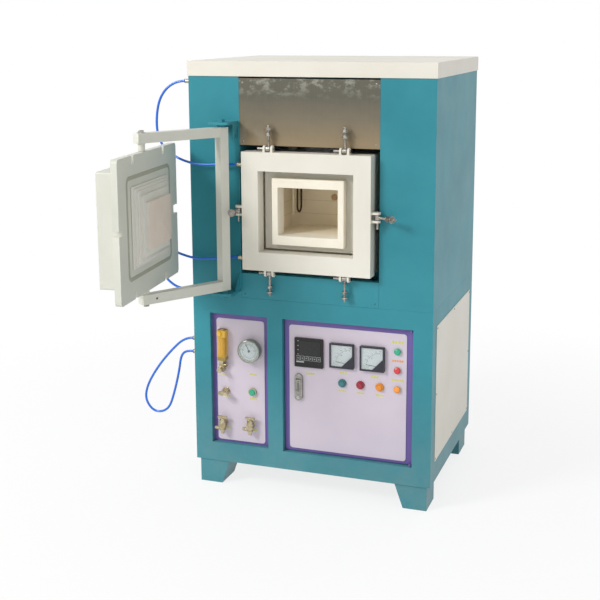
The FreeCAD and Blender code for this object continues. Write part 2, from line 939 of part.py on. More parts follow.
def furnace_vessel():
    ring = block("Flange", about("vessel_width"), ("flange_face", flange_back), vessel_z)
    body = block(
        "VesselBody",
        about("vessel_width - 2 * vessel_wall"),
        (flange_back, "vessel_back"),
        about("vessel_height - 2 * vessel_wall", "vessel_centre"),
    )
    hollow = block(
        "VesselHollow",
        about("vessel_width - 4 * vessel_wall"),
        (flange_back, "vessel_back - vessel_wall"),
        about("vessel_height - 4 * vessel_wall", "vessel_centre"),
    )
    mouth = block(
        "Mouth",
        about("mouth_width"),
        (f"flange_face - {clear}", f"{flange_back} + 1"),
        about("mouth_height", "vessel_centre"),
    )
    ears = []
    pins = []
    bores = []
    for name, x, z, along in bolt_places:
        ears += ear_pair(name, x, z, along)
        if along == "x":
            start = (f"{x} - pin_stub", bolt_depth, z)
            way = (1, 0, 0)
        else:
            start = (x, bolt_depth, f"{z} - pin_stub")
            way = (0, 0, 1)
        pins.append(rod(name + "Pin", "bolt_radius", start, "pin_stub + pin_end", way))
        bores.append(rod(name + "PinBore", "bolt_radius", start, "pin_stub + pin_end", way))
    top = "vessel_centre + vessel_height / 2"
    for hand in ("-", ""):
        for leg in ("-", "+"):
            bores.append(
                rod(
                    f"LegHole{'Left' if hand else 'Right'}{'Front' if leg == '-' else 'Back'}",
                    "element_hole",
                    (
                        f"{hand}element_across",
                        f"element_middle {leg} element_bend",
                        f"{top} - 3 * vessel_wall",
                    ),
                    "4 * vessel_wall",
                )
            )
    bores.append(
        rod(
            "ProbeHole",
            "element_hole",
            ("probe_across", "probe_depth", f"{top} - 3 * vessel_wall"),
            "4 * vessel_wall",
        ),
    )
    for name, level in (("FeedBore", "feed_port"), ("ReturnBore", "return_port")):
        bores.append(
            rod(
                name,
                "fitting_radius",
                ("-vessel_width / 2 - 1", "flange_port_depth", level),
                "fitting_inside + 1",
                (1, 0, 0),
            ),
        )
    keep(
        "furnace_vessel",
        cut("FurnaceVessel", fuse("VesselSolid", ring, body, *ears), hollow, mouth, *bores),
    )
    keep("bolt_pins", group("BoltPins", *pins))


def lining():
    centre = "vessel_centre"
    board = block(
        "Board",
        about("board_width"),
        (flange_back, f"{flange_back} + board_depth"),
        about("board_height", centre),
    )
    board_way = block(
        "BoardWay",
        about("collar_width"),
        (f"{flange_back} - 1", f"{flange_back} + board_depth + 1"),
        about("collar_height", centre),
    )
    keep("mouth_fibre_frame", cut("MouthFibreFrame", board, board_way))
    collar = block(
        "Collar",
        about("collar_width"),
        ("collar_front", "collar_back"),
        about("collar_height", centre),
    )
    collar_way = block(
        "CollarWay",
        about("collar_open_width"),
        ("collar_front - 1", "collar_back + 1"),
        about("collar_open_height", centre),
    )
    keep("chamber_collar", cut("ChamberCollar", collar, collar_way))
    brick = block(
        "Brick",
        about("vessel_width - 4 * vessel_wall"),
        ("collar_back", "vessel_back - vessel_wall"),
        about("vessel_height - 4 * vessel_wall", centre),
    )
    chamber = block(
        "Chamber",
        about("chamber_width"),
        ("collar_back - 1", "chamber_back"),
        ("chamber_low", "chamber_high"),
    )
    tools = [
        chamber,
        rod(
            "Port",
            "port_radius",
            ("port_across", "chamber_back - 1", "port_level"),
            "port_depth",
            (0, 1, 0),
        ),
    ]
    for hand in ("-", ""):
        for leg in ("-", "+"):
            name = f"LegWay{'Left' if hand else 'Right'}{'Front' if leg == '-' else 'Back'}"
            spot = (f"{hand}element_across", f"element_middle {leg} element_bend", "chamber_high - 1")
            tools.append(rod(name, "element_hole", spot, "vessel_height / 2"))
    tools.append(
        rod(
            "ProbeWay",
            "element_hole",
            ("probe_across", "probe_depth", "chamber_high - 1"),
            "vessel_height / 2",
        ),
    )
    keep("fibre_lining", cut("FibreLining", brick, *tools))
    hearth = block(
        "HearthPlate",
        about("collar_open_width - 2 * hearth_play"),
        ("collar_back", "chamber_back - hearth_play"),
        ("chamber_low", "vessel_centre - collar_open_height / 2"),
    )
    keep("hearth_plate", hearth)


def heating_elements():
    # A U of round bar on each side of the chamber, hung from collars on the vessel's roof.
    bars = []
    top = "(vessel_centre + vessel_height / 2 - vessel_wall)"
    bend_level = "(element_low + element_bend + element_radius)"
    for hand, sign in (("Left", "-"), ("Right", "")):
        across = f"{sign}element_across"
        bend = doc.addObject("Part::Torus", hand + "Bend")
        bend.setExpression("Radius1", linked("element_bend"))
        bend.setExpression("Radius2", linked("element_radius"))
        bend.Angle3 = 180
        bend.Placement = Placement(
            Vector(),
            Rotation(Vector(0, 0, 1), Vector(1, 0, 0)) * Rotation(Vector(0, 0, 1), -90),
        )
        place(bend, (across, "element_middle", bend_level))
        solids = [bend]
        for leg, shift in (("Front", "-"), ("Back", "+")):
            spot = (across, f"element_middle {shift} element_bend")
            solids.append(
                rod(
                    hand + leg + "Leg",
                    "element_radius",
                    (*spot, bend_level),
                    f"element_top - {bend_level}",
                ),
            )
            solids.append(rod(hand + leg + "Collar", "terminal_radius", (*spot, top), "terminal_height"))
        bars.append(fuse(hand + "Element", *solids))
    keep("heating_elements", group("HeatingElements", *bars))
    spot = ("probe_across", "probe_depth")
    sheath = rod("Sheath", "probe_radius", (*spot, "probe_low"), f"{top} - probe_low")
    head = rod("ProbeHead", "probe_head", (*spot, top), "probe_head_height")
    keep("thermocouple", fuse("Thermocouple", sheath, head))


def vessel_rails():
    rails = []
    level = ("vessel_centre - vessel_height / 2 - rail_size", "vessel_centre - vessel_height / 2")
    inside = (f"{level[0]} + rail_wall", f"{level[1]} - rail_wall")
    for name, middle in (("FrontRail", "rail_front"), ("RearRail", "rail_rear")):
        bar = block(name + "Bar", about("bay_width"), about("rail_size", middle), level)
        bore = block(
            name + "Bore",
            about("bay_width + 2"),
            about("rail_size - 2 * rail_wall", middle),
            inside,
        )
        rails.append(cut(name, bar, bore))
    keep("vessel_rails", group("VesselRails", *rails))


def swing_bolt(label, name, x, z, turn):
    # An eye bolt on its pin, with a flange nut and, past it, a nut on a washer.
    # It is drawn standing on its pin, which lies along X, and then turned.
    eye = rod(name + "Eye", "eye_radius", ("-eye_width / 2", 0, 0), "eye_width", (1, 0, 0))
    shank = rod(name + "Shank", "bolt_radius", (0, 0, 0), "bolt_length")
    bore = rod(name + "Bore", "bolt_radius + pin_play", ("-eye_width", 0, 0), "2 * eye_width", (1, 0, 0))
    bolt = cut(name + "Bolt", fuse(name + "Blank", eye, shank), bore)
    flange = rod(name + "NutFlange", "nut_flange", (0, 0, "clamp_nut_place"), "washer_wall")
    inner = hexagon(name + "Nut", "nut_radius", (0, 0, "clamp_nut_place"), "washer_wall + nut_height")
    washer = rod(name + "Washer", "washer_radius", (0, 0, "outer_nut_place"), "washer_wall")
    outer = hexagon(
        name + "OuterNut",
        "nut_radius",
        (0, 0, "outer_nut_place"),
        "washer_wall + nut_height",
    )
    item = fuse(name + "Item", bolt, flange, inner, washer, outer)
    item.Placement = Placement(Vector(), turn)
    place(item, (x, bolt_depth, z))
    keep(label, item)


def swing_bolts():
    upright = Rotation()
    hanging = Rotation(Vector(1, 0, 0), 180)
    pin_up = Rotation(Vector(0, 1, 0), 90)
    lean = -size("right_bolt_angle")
    swing_bolt("top_left_bolt", "TopLeftBolt", "-bolt_across", bolt_top, upright)
    swing_bolt("top_right_bolt", "TopRightBolt", "bolt_across", bolt_top, upright)
    swing_bolt("low_left_bolt", "LowLeftBolt", "-bolt_across", bolt_low, hanging)
    swing_bolt("low_right_bolt", "LowRightBolt", "bolt_across", bolt_low, hanging)
    forward = Rotation(Vector(0, 0, 1), -90) * pin_up
    swing_bolt("left_bolt", "LeftBolt", f"-{bolt_side}", "vessel_centre", forward)
    outward = Rotation(Vector(0, 0, 1), lean) * pin_up
    swing_bolt("right_bolt", "RightBolt", bolt_side, "vessel_centre", outward)


hinge_x = "hinge_across"
hinge_y = "hinge_depth"


def hinge_brackets():
    made = []
    reach = (f"{hinge_y} - bracket_past", front)
    across = ("bracket_left", "bracket_right")
    for name, seat, step in (("Top", "yoke_high", 1), ("Low", "yoke_low", -1)):
        sign = "+" if step > 0 else "-"
        inner = f"{seat} {sign} bracket_gap"
        outer = f"{seat} {sign} (bracket_gap + bracket_wall)"
        level = (inner, outer) if step > 0 else (outer, inner)
        plate = rounded(
            name + "BracketPlate",
            block(name + "BracketBlank", across, reach, level),
            size("bracket_corner"),
            (0, 0, 1),
        )
        gap = (f"{seat} {sign} seat_gap", inner) if step > 0 else (inner, f"{seat} {sign} seat_gap")
        spacer = rod(
            name + "Spacer",
            "hinge_pin + spacer_wall",
            (hinge_x, hinge_y, gap[0]),
            "bracket_gap - seat_gap",
        )
        web = doc.addObject("Part::Wedge", name + "Gusset")
        for word, value in (
            ("Xmin", "0"), ("Xmax", "gusset_wall"), ("X2min", "0"), ("X2max", "gusset_wall"),
            ("Zmin", "0"), ("Zmax", "gusset_reach"), ("Z2min", "0"), ("Z2max", "gusset_tip"),
            ("Ymin", "0"), ("Ymax", "gusset_height"),
        ):
            web.setExpression(word, linked(value))
        # The wedge's height runs away from the plate, its reach towards the front.
        web.Placement = Placement(Vector(), Rotation(Vector(1, 0, 0), 90 if step < 0 else -90))
        made.append((name, step, plate, spacer, web, level, outer))
    solids = []
    pins = []
    for name, step, plate, spacer, web, level, outer in made:
        if step > 0:
            place(web, ("bracket_right - gusset_wall", f"{front} - gusset_reach", level[0]))
        else:
            place(web, ("bracket_right - gusset_wall", front, level[1]))
        way = (0, 0, -1) if step > 0 else (0, 0, 1)
        shaft = "bracket_wall + bracket_gap + hinge_pin_depth"
        bore = rod(name + "PinWay", "hinge_pin", (hinge_x, hinge_y, outer), shaft, way)
        pin = rod(name + "HingePin", "hinge_pin", (hinge_x, hinge_y, outer), shaft, way)
        head = hexagon(
            name + "PinHead",
            "hinge_pin + pin_head_lap",
            (hinge_x, hinge_y, outer),
            "pin_head_height",
            (0, 0, step),
        )
        solids.append(cut(name + "Bracket", fuse(name + "BracketSolid", plate, spacer), bore))
        solids.append(web)
        pins.append(fuse(name + "PinItem", pin, head))
    keep("hinge_brackets", group("HingeBrackets", *solids, *pins))


pivot_fall = "(flange_face - door_gap - pivot_setback - hinge_depth)"
pivot_shift = f"(hinge_across + sqrt(arm_length ^ 2 - {pivot_fall} ^ 2))"


def swing_yoke():
    # The hinge axis is the frame's Z axis, and the arms lie along X.
    half = "tube_size / 2"
    upright = block("Upright", about("tube_size"), about("tube_size"), ("yoke_low", "yoke_high"))
    arm_x = (f"-{half}", "arm_length + arm_past")
    top_arm = block("TopArm", arm_x, about("tube_size"), ("yoke_high - tube_size", "yoke_high"))
    low_arm = block("LowArm", arm_x, about("tube_size"), ("yoke_low", "yoke_low + tube_size"))
    bores = [
        rod(
            "TopHingeBore",
            "hinge_pin + pin_play",
            (0, 0, "yoke_high - hinge_pin_depth - 1"),
            "hinge_pin_depth + 2",
        ),
        rod("LowHingeBore", "hinge_pin + pin_play", (0, 0, "yoke_low - 1"), "hinge_pin_depth + 2"),
        rod("TopPivotBore", "pivot_pin", ("arm_length", 0, "yoke_high - tube_size - 1"), "tube_size + 2"),
        rod("LowPivotBore", "pivot_pin", ("arm_length", 0, "yoke_low - 1"), "tube_size + 2"),
        rod(
            "ArmHole",
            "arm_hole",
            ("arm_length - arm_hole_place", f"{half} - arm_hole_depth", f"yoke_low + {half}"),
            "arm_hole_depth + 1",
            (0, 1, 0),
        ),
    ]
    yoke = cut("SwingYoke", fuse("YokeSolid", upright, top_arm, low_arm), *bores)
    door_top = "(vessel_centre + door_height / 2)"
    door_low = "(vessel_centre - door_height / 2)"
    spot = ("arm_length", 0)
    pins = []
    top_shaft = rod(
        "TopPivotShaft",
        "pivot_pin",
        (*spot, f"{door_top} - pivot_pin_depth"),
        f"yoke_high + pivot_proud - ({door_top} - pivot_pin_depth)",
    )
    top_bush = rod(
        "TopBush",
        "bush_radius",
        (*spot, f"{door_top} + seat_gap"),
        f"yoke_high - tube_size - ({door_top} + seat_gap)",
    )
    top_nut = hexagon("TopPivotNut", "bush_radius", (*spot, "yoke_high"), "pivot_nut_height")
    pins.append(fuse("TopPivot", top_shaft, top_bush, top_nut))
    low_shaft = rod(
        "LowPivotShaft",
        "pivot_pin",
        (*spot, "yoke_low - pivot_proud"),
        f"{door_low} + pivot_pin_depth - (yoke_low - pivot_proud)",
    )
    low_bush = rod(
        "LowBush",
        "bush_radius",
        (*spot, "yoke_low + tube_size"),
        f"{door_low} - seat_gap - (yoke_low + tube_size)",
    )
    low_nut = hexagon(
        "LowPivotNut",
        "bush_radius",
        (*spot, "yoke_low - pivot_nut_height"),
        "pivot_nut_height",
    )
    pins.append(fuse("LowPivot", low_shaft, low_bush, low_nut))
    set_pins = group("DoorPivotPins", *pins)
    for item in (yoke, set_pins):
        item.Placement = Placement(Vector(), Rotation(Vector(0, 0, 1), size("arm_angle")))
        place(item, (hinge_x, hinge_y, 0))
    keep("swing_yoke", yoke)
    keep("door_pivot_pins", set_pins)


def door():
    # Drawn closed, with the pivot axis as the frame's Z axis and the inner face towards +Y.
    middle = f"-{pivot_shift}"
    inner = "pivot_setback"
    outer = "(pivot_setback - door_wall)"
    level = "vessel_centre"
    blank = block("DoorBlank", about("door_width", middle), (outer, inner), about("door_height", level))
    blank = rounded("DoorRounded", blank, size("door_corner"), (0, 1, 0))
    through = (f"{outer} - 1", f"{inner} + 1")
    tools = []
    for name, offset in (("Near", "bolt_across"), ("Far", "-bolt_across")):
        across = about("slot_width", f"({middle} + {offset})")
        tools.append(
            block(
                name + "TopSlot",
                across,
                through,
                (f"{level} + door_height / 2 - slot_depth", f"{level} + door_height / 2 + 1"),
            ),
        )
        tools.append(
            block(
                name + "LowSlot",
                across,
                through,
                (f"{level} - door_height / 2 - 1", f"{level} - door_height / 2 + slot_depth"),
            ),
        )
    free_x = (f"{middle} + door_width / 2 - free_notch_depth", f"{middle} + door_width / 2 + 1")
    hinge_side = (f"{middle} - door_width / 2 - 1", f"{middle} - door_width / 2 + hinge_notch_depth")
    tools.append(block("FreeNotch", free_x, through, about("slot_width", level)))
    tools.append(block("HingeNotch", hinge_side, through, about("hinge_notch_height", level)))
    bore_length = "pivot_pin_depth + 2"
    tools.append(
        rod(
            "TopPivotWay",
            "pivot_pin + pin_play",
            (0, 0, f"{level} + door_height / 2 - pivot_pin_depth - 1"),
            bore_length,
        ),
    )
    tools.append(
        rod("LowPivotWay", "pivot_pin + pin_play", (0, 0, f"{level} - door_height / 2 - 1"), bore_length),
    )

    def band(name, y):
        ring = block(name + "Outer", about("gasket_width", middle), y, about("gasket_height", level))
        way = block(
            name + "Inner",
            about("gasket_width - 2 * gasket_band", middle),
            (f"{y[0]} - 1", f"{y[1]} + 1"),
            about("gasket_height - 2 * gasket_band", level),
        )
        return cut(
            name,
            rounded(name + "Round", ring, 2 * size("gasket_band"), (0, 1, 0)),
            rounded(name + "WayRound", way, size("gasket_band"), (0, 1, 0)),
        )

    groove = band("GasketGroove", (f"{inner} - gasket_groove", f"{inner} + 1"))
    plate = cut("DoorPlate", blank, groove, *tools)
    gasket = band("DoorGasket", (f"{inner} - gasket_groove", f"{inner} + gasket_proud"))
    shell = block(
        "CasingOuter",
        about("casing_width", middle),
        (f"{outer} - casing_depth", outer),
        about("casing_height", level),
    )
    hollow = block(
        "CasingInner",
        about("casing_width - 2 * sheet_wall", middle),
        (f"{outer} - casing_depth + sheet_wall", f"{outer} + 1"),
        about("casing_height - 2 * sheet_wall", level),
    )
    casing = cut("DoorCasing", rounded("CasingRound", shell, size("casing_corner"), (0, 1, 0)), hollow)
    steps = []
    for name in ("base", "step", "nose"):
        steps.append(
            block(
                "Plug" + name.title(),
                about(f"plug_{name}_width", middle),
                (inner, f"{inner} + plug_{name}_proud"),
                about(f"plug_{name}_height", level),
            )
        )
    plug = fuse("DoorPlug", *steps)
    for label, item in (
        ("door_plate", plate),
        ("door_gasket", gasket),
        ("door_casing", casing),
        ("door_plug", plug),
    ):
        item.Placement = Placement(Vector(), Rotation(Vector(0, 0, 1), size("door_angle")))
        place(
            item,
            (
                "hinge_across + arm_length * cos(arm_angle)",
                "hinge_depth + arm_length * sin(arm_angle)",
                0,
            ),
        )
        keep(label, item)


def gas_panel():
    plate_depth = (panel_front, f"{panel_front} + panel_plate")
    plate = block("GasPlate", ("gas_left", "gas_right"), plate_depth, ("gas_low", "gas_high"))
    face_x = ("gas_face_left", "gas_face_right")
    face = block("GasFaceBlank", face_x, (face_front, panel_front), ("gas_face_low", "gas_face_high"))
    face = rounded("GasFaceRound", face, size("face_corner"), (0, 1, 0))
    through = "face_plate + panel_plate + 2"
    for label, name, base in (("gas_panel", "GasPanel", plate), ("gas_faceplate", "GasFaceplate", face)):
        ways = []
        for word in ("gauge", "valve", "inlet", "outlet", "gas_button"):
            radius = "barrel_radius" if word == "gas_button" else "fitting_radius"
            spot = (f"{word}_across", f"{face_front} - 1", f"{word}_place")
            ways.append(rod(f"{name}{word.title()}Hole", radius, spot, through, (0, 1, 0)))
        keep(label, cut(name, base, *ways))


def stem(name, x, z):
    # The threaded stem that carries a fitting through the faceplate and the panel.
    return rod(
        name,
        "fitting_radius",
        (x, face_front, z),
        "face_plate + panel_plate + fitting_inside",
        (0, 1, 0),
    )


def flowmeter():
    body = block(
        "FlowBlock",
        ("flow_left", "flow_right"),
        (f"{face_front} - flow_proud", face_front),
        ("flow_low", "flow_high"),
    )
    foot = block(
        "FlowFoot",
        ("flow_left", "flow_right - flow_foot_step"),
        (f"{face_front} - flow_foot_proud", face_front),
        ("flow_foot", "flow_low"),
    )
    middle = "((flow_left + flow_right) / 2)"
    tube_y = f"({face_front} - flow_proud / 2)"
    way = rod(
        "FlowTube",
        "flow_tube",
        (middle, tube_y, "flow_low + flow_end"),
        "flow_high - flow_low - 2 * flow_end",
    )
    knob_x = "((flow_left + flow_right - flow_foot_step) / 2)"
    knob_way = rod(
        "FlowKnobWay",
        "spindle_radius + pin_play",
        (knob_x, f"{face_front} - flow_foot_proud - 1", "flow_knob_place"),
        "spindle_way",
        (0, 1, 0),
    )
    keep(
        "flowmeter_body",
        cut(
            "FlowmeterBody",
            fuse("FlowSolid", rounded("FlowRound", body, size("flow_corner"), (0, 1, 0)), foot),
            way,
            knob_way,
        ),
    )
    keep(
        "flowmeter_float",
        rod("FlowmeterFloat", "float_radius", (middle, tube_y, "flow_low + flow_end"), "float_length"),
    )
    knob = rod(
        "FlowKnobHead",
        "flow_knob_radius",
        (knob_x, f"{face_front} - flow_foot_proud - seat_gap", "flow_knob_place"),
        "flow_knob_length",
        (0, -1, 0),
    )
    spindle = rod(
        "FlowSpindle",
        "spindle_radius",
        (knob_x, f"{face_front} - flow_foot_proud - 1", "flow_knob_place"),
        "spindle_depth",
        (0, 1, 0),
    )
    keep("flowmeter_knob", fuse("FlowmeterKnob", knob, spindle))


def pressure_gauge():
    spot = ("gauge_across", "gauge_place")
    fronting = f"({face_front} - gauge_proud)"
    case = rod("GaugeDrum", "gauge_radius", (spot[0], face_front, spot[1]), "gauge_proud", (0, -1, 0))
    dish = rod(
        "GaugeDish",
        "gauge_dial",
        (spot[0], f"{fronting} - 1", spot[1]),
        "gauge_dial_depth + 1",
        (0, 1, 0),
    )
    post = rod(
        "GaugePost",
        "needle_post",
        (spot[0], f"{fronting} + gauge_dial_depth", spot[1]),
        "gauge_post",
        (0, -1, 0),
    )
    keep("gauge_case", fuse("GaugeCase", cut("GaugeOpen", case, dish), post, stem("GaugeStem", *spot)))
    hand = needle(
        "GaugeNeedle",
        spot[0],
        f"({fronting} + gauge_dial_depth - seat_gap)",
        spot[1],
        "gauge_needle_length",
        size("gauge_needle_angle"),
    )
    keep("gauge_needle", hand)


def needle(name, x, y, z, length, angle):
    # A pointer on a post, drawn to the right of its post and turned about the dial's axis.
    hub = rod(name + "Hub", "needle_hub", (0, 0, 0), "2 * needle_wall", (0, -1, 0))
    blade = block(name + "Blade", ("0", length), ("-needle_wall", "0"), about("needle_width"))
    bore = rod(name + "Bore", "needle_post + pin_play", (0, 1, 0), "2 * needle_hub", (0, -1, 0))
    item = cut(name, fuse(name + "Solid", hub, blade), bore)
    item.Placement = Placement(Vector(), Rotation(Vector(0, -1, 0), angle))
    place(item, (x, y, z))
    return item


def gas_valves():
    spot = ("valve_across", "valve_place")
    tip = f"({face_front} - valve_proud)"
    body = rod("ValveBody", "valve_radius", (spot[0], face_front, spot[1]), "valve_proud", (0, -1, 0))
    nut = hexagon("ValveHex", "valve_hex", (spot[0], face_front, spot[1]), "valve_hex_height", (0, -1, 0))
    way = rod(
        "ValveWay",
        "spindle_radius + pin_play",
        (spot[0], f"{tip} - 1", spot[1]),
        "spindle_way",
        (0, 1, 0),
    )
    valve = fuse(
        "NeedleValve",
        cut("ValveOpen", fuse("ValveSolid", body, nut), way),
        stem("ValveStem", *spot),
    )
    knob = rod(
        "ValveKnobHead",
        "valve_knob_radius",
        (spot[0], f"{tip} - seat_gap", spot[1]),
        "valve_knob_length",
        (0, -1, 0),
    )
    wing_y = (f"{tip} - valve_knob_length", f"{tip} - wing_setback")
    wings = block("ValveWings", about("2 * wing_reach", spot[0]), wing_y, about("wing_height", spot[1]))
    wings = rounded("ValveWingsRound", wings, size("wing_corner"), (0, 1, 0))
    spindle = rod(
        "ValveSpindle",
        "spindle_radius",
        (spot[0], f"{tip} - 1", spot[1]),
        "spindle_depth",
        (0, 1, 0),
    )
    keep("needle_valve_knob", fuse("NeedleValveKnob", knob, wings, spindle))
    balls = [valve]
    for label, name, x, z in (
        ("inlet_valve_handle", "Inlet", "inlet_across", "inlet_place"),
        ("outlet_valve_handle", "Outlet", "outlet_across", "outlet_place"),
    ):
        middle = f"({face_front} - ball_stand)"
        barrel = rod(name + "Barrel", "ball_radius", (x, middle, f"{z} - ball_height / 2"), "ball_height")
        stand = rod(name + "Stand", "ball_stem_radius", (x, face_front, z), "ball_stand", (0, -1, 0))
        nozzle = rod(
            name + "Nozzle",
            "fitting_radius",
            (x, middle, f"{z} - ball_height / 2 - nozzle_length"),
            "nozzle_length",
        )
        neck = rod(name + "Neck", "fitting_radius", (x, middle, f"{z} + ball_height / 2"), "ball_neck")
        barb = rod(
            name + "Barb",
            "fitting_radius",
            (x, middle, f"{z} - barb_fall"),
            "ball_radius + barb_length",
            (-1, 0, 0),
        )
        solids = [barrel, stand, nozzle, neck, barb, stem(name + "Stem", x, z)]
        post_way = rod(
            name + "PostWay",
            "spindle_radius + pin_play",
            (x, middle, f"{z} + ball_height / 2 - post_depth - 1"),
            "post_depth + ball_neck + 2",
        )
        balls.append(cut(name + "Valve", fuse(name + "Solid", *solids), post_way))
        high = f"({z} + ball_height / 2 + ball_neck + seat_gap)"
        tee = block(
            name + "Tee",
            about("2 * tee_reach", x),
            about("tee_width", middle),
            (high, f"{high} + tee_height"),
        )
        tee = rounded(name + "TeeRound", tee, size("tee_corner"), (0, 0, 1))
        foot = f"({z} + ball_height / 2 - post_depth)"
        post = rod(name + "Post", "spindle_radius", (x, middle, foot), f"{high} + 1 - {foot}")
        keep(label, fuse(name + "Handle", tee, post))
    balls.append(push_button("gas_button", "GasButton", "gas_button_across", "gas_button_place"))
    keep("gas_valves", group("GasValves", *balls))


def push_button(label, name, x, z):
    # The moving cap and, apart from it, its ring with the barrel behind the plates.
    lip = f"({face_front} - button_ring_proud)"
    ring = rod(name + "Ring", "button_ring", (x, face_front, z), "button_ring_proud", (0, -1, 0))
    barrel = rod(name + "Barrel", "barrel_radius", (x, face_front, z), "barrel_depth", (0, 1, 0))
    start = f"{face_front} - button_proud"
    way_length = "button_length + button_travel + button_proud - button_ring_proud"
    way = rod(
        name + "Way",
        "button_radius + button_play",
        (x, f"{lip} - 1", z),
        f"{way_length} - 1",
        (0, 1, 0),
    )
    keep(label, rod(name + "Cap", "button_radius", (x, start, z), "button_length", (0, 1, 0)))
    return cut(name + "Mount", fuse(name + "Solid", ring, barrel), way)


button_spots = (
    ("green_button", "GreenButton", "button_first"),
    ("red_button", "RedButton", "button_second"),
    ("orange_button", "OrangeButton", "button_third"),
)
lamp_spots = (("GreenLamp", "lamp_top"), ("RedLamp", "lamp_middle"), ("OrangeLamp", "lamp_low"))
hinge_line = ("(control_right - control_hinge_inset)", "control_hinge_depth")


def control_openings(name):
    # The ways through the door's plate and its faceplate.
    depth = "face_plate + panel_plate + 2"
    start = f"{face_front} - 1"
    y = (start, f"{start} + {depth}")
    fit = "2 * hole_play"
    ways = [
        block(
            name + "ControllerWay",
            about(f"controller_body + {fit}", "controller_across"),
            y,
            about(f"controller_body + {fit}", "controller_place"),
        ),
        rounded(
            name + "LockWay",
            block(
                name + "LockWayBlank",
                about("lock_width - 2 * lock_rim + 2 * hole_play", "lock_across"),
                y,
                ("lock_low + lock_rim - hole_play", "lock_high - lock_rim + hole_play"),
            ),
            size("lock_width") / 2 - size("lock_rim") + size("hole_play") - hair,
            (0, 1, 0),
        ),
    ]
    for number, x in enumerate(("meter_first", "meter_second"), start=1):
        ways.append(
            rod(
                f"{name}MeterWay{number}",
                "meter_barrel + hole_play",
                (x, start, "meter_place"),
                depth,
                (0, 1, 0),
            ),
        )
    for lamp, level in lamp_spots:
        ways.append(
            rod(
                f"{name}{lamp}Way",
                "barrel_radius + hole_play",
                ("lamp_across", start, level),
                depth,
                (0, 1, 0),
            ),
        )
    for _, button, x in button_spots:
        ways.append(
            rod(
                f"{name}{button}Way",
                "barrel_radius + hole_play",
                (x, start, "button_place"),
                depth,
                (0, 1, 0),
            ),
        )
    return ways


def control_door():
    x = ("control_left + control_gap", "control_right - control_gap")
    z = ("control_low + control_gap", "control_high - control_gap")
    tray = block("ControlBlank", x, (panel_front, f"{panel_front} + control_rim"), z)
    hollow = block(
        "ControlHollow",
        (f"{x[0]} + panel_plate", f"{x[1]} - panel_plate"),
        (f"{panel_front} + panel_plate", f"{panel_front} + control_rim + 1"),
        (f"{z[0]} + panel_plate", f"{z[1]} - panel_plate"),
    )
    ears = []
    bores = []
    for name, low in (("LowEar", z[0]), ("HighEar", f"{z[1]} - control_ear")):
        ear_x = about("2 * (control_hinge_inset - control_gap)", hinge_line[0])
        ears.append(block(name, ear_x, (hinge_line[1], panel_front), (low, f"{low} + control_ear")))
        ears.append(
            rod(name + "Round", "control_hinge_inset - control_gap", (*hinge_line, low), "control_ear"),
        )
        bores.append(
            rod(
                name + "Bore",
                "pintle_radius + pin_play",
                (*hinge_line, f"{low} - 2"),
                "control_ear + 4",
            ),
        )
    leaf = cut("ControlLeaf", tray, hollow, *control_openings("Leaf"))
    keep("control_door", cut("ControlDoor", fuse("ControlSolid", leaf, *ears), *bores))
    face = block(
        "ControlFaceBlank",
        ("control_face_left", "control_face_right"),
        (face_front, panel_front),
        ("control_face_low", "control_face_high"),
    )
    face = rounded("ControlFaceRound", face, size("face_corner"), (0, 1, 0))
    keep("control_faceplate", cut("ControlFaceplate", face, *control_openings("Face")))


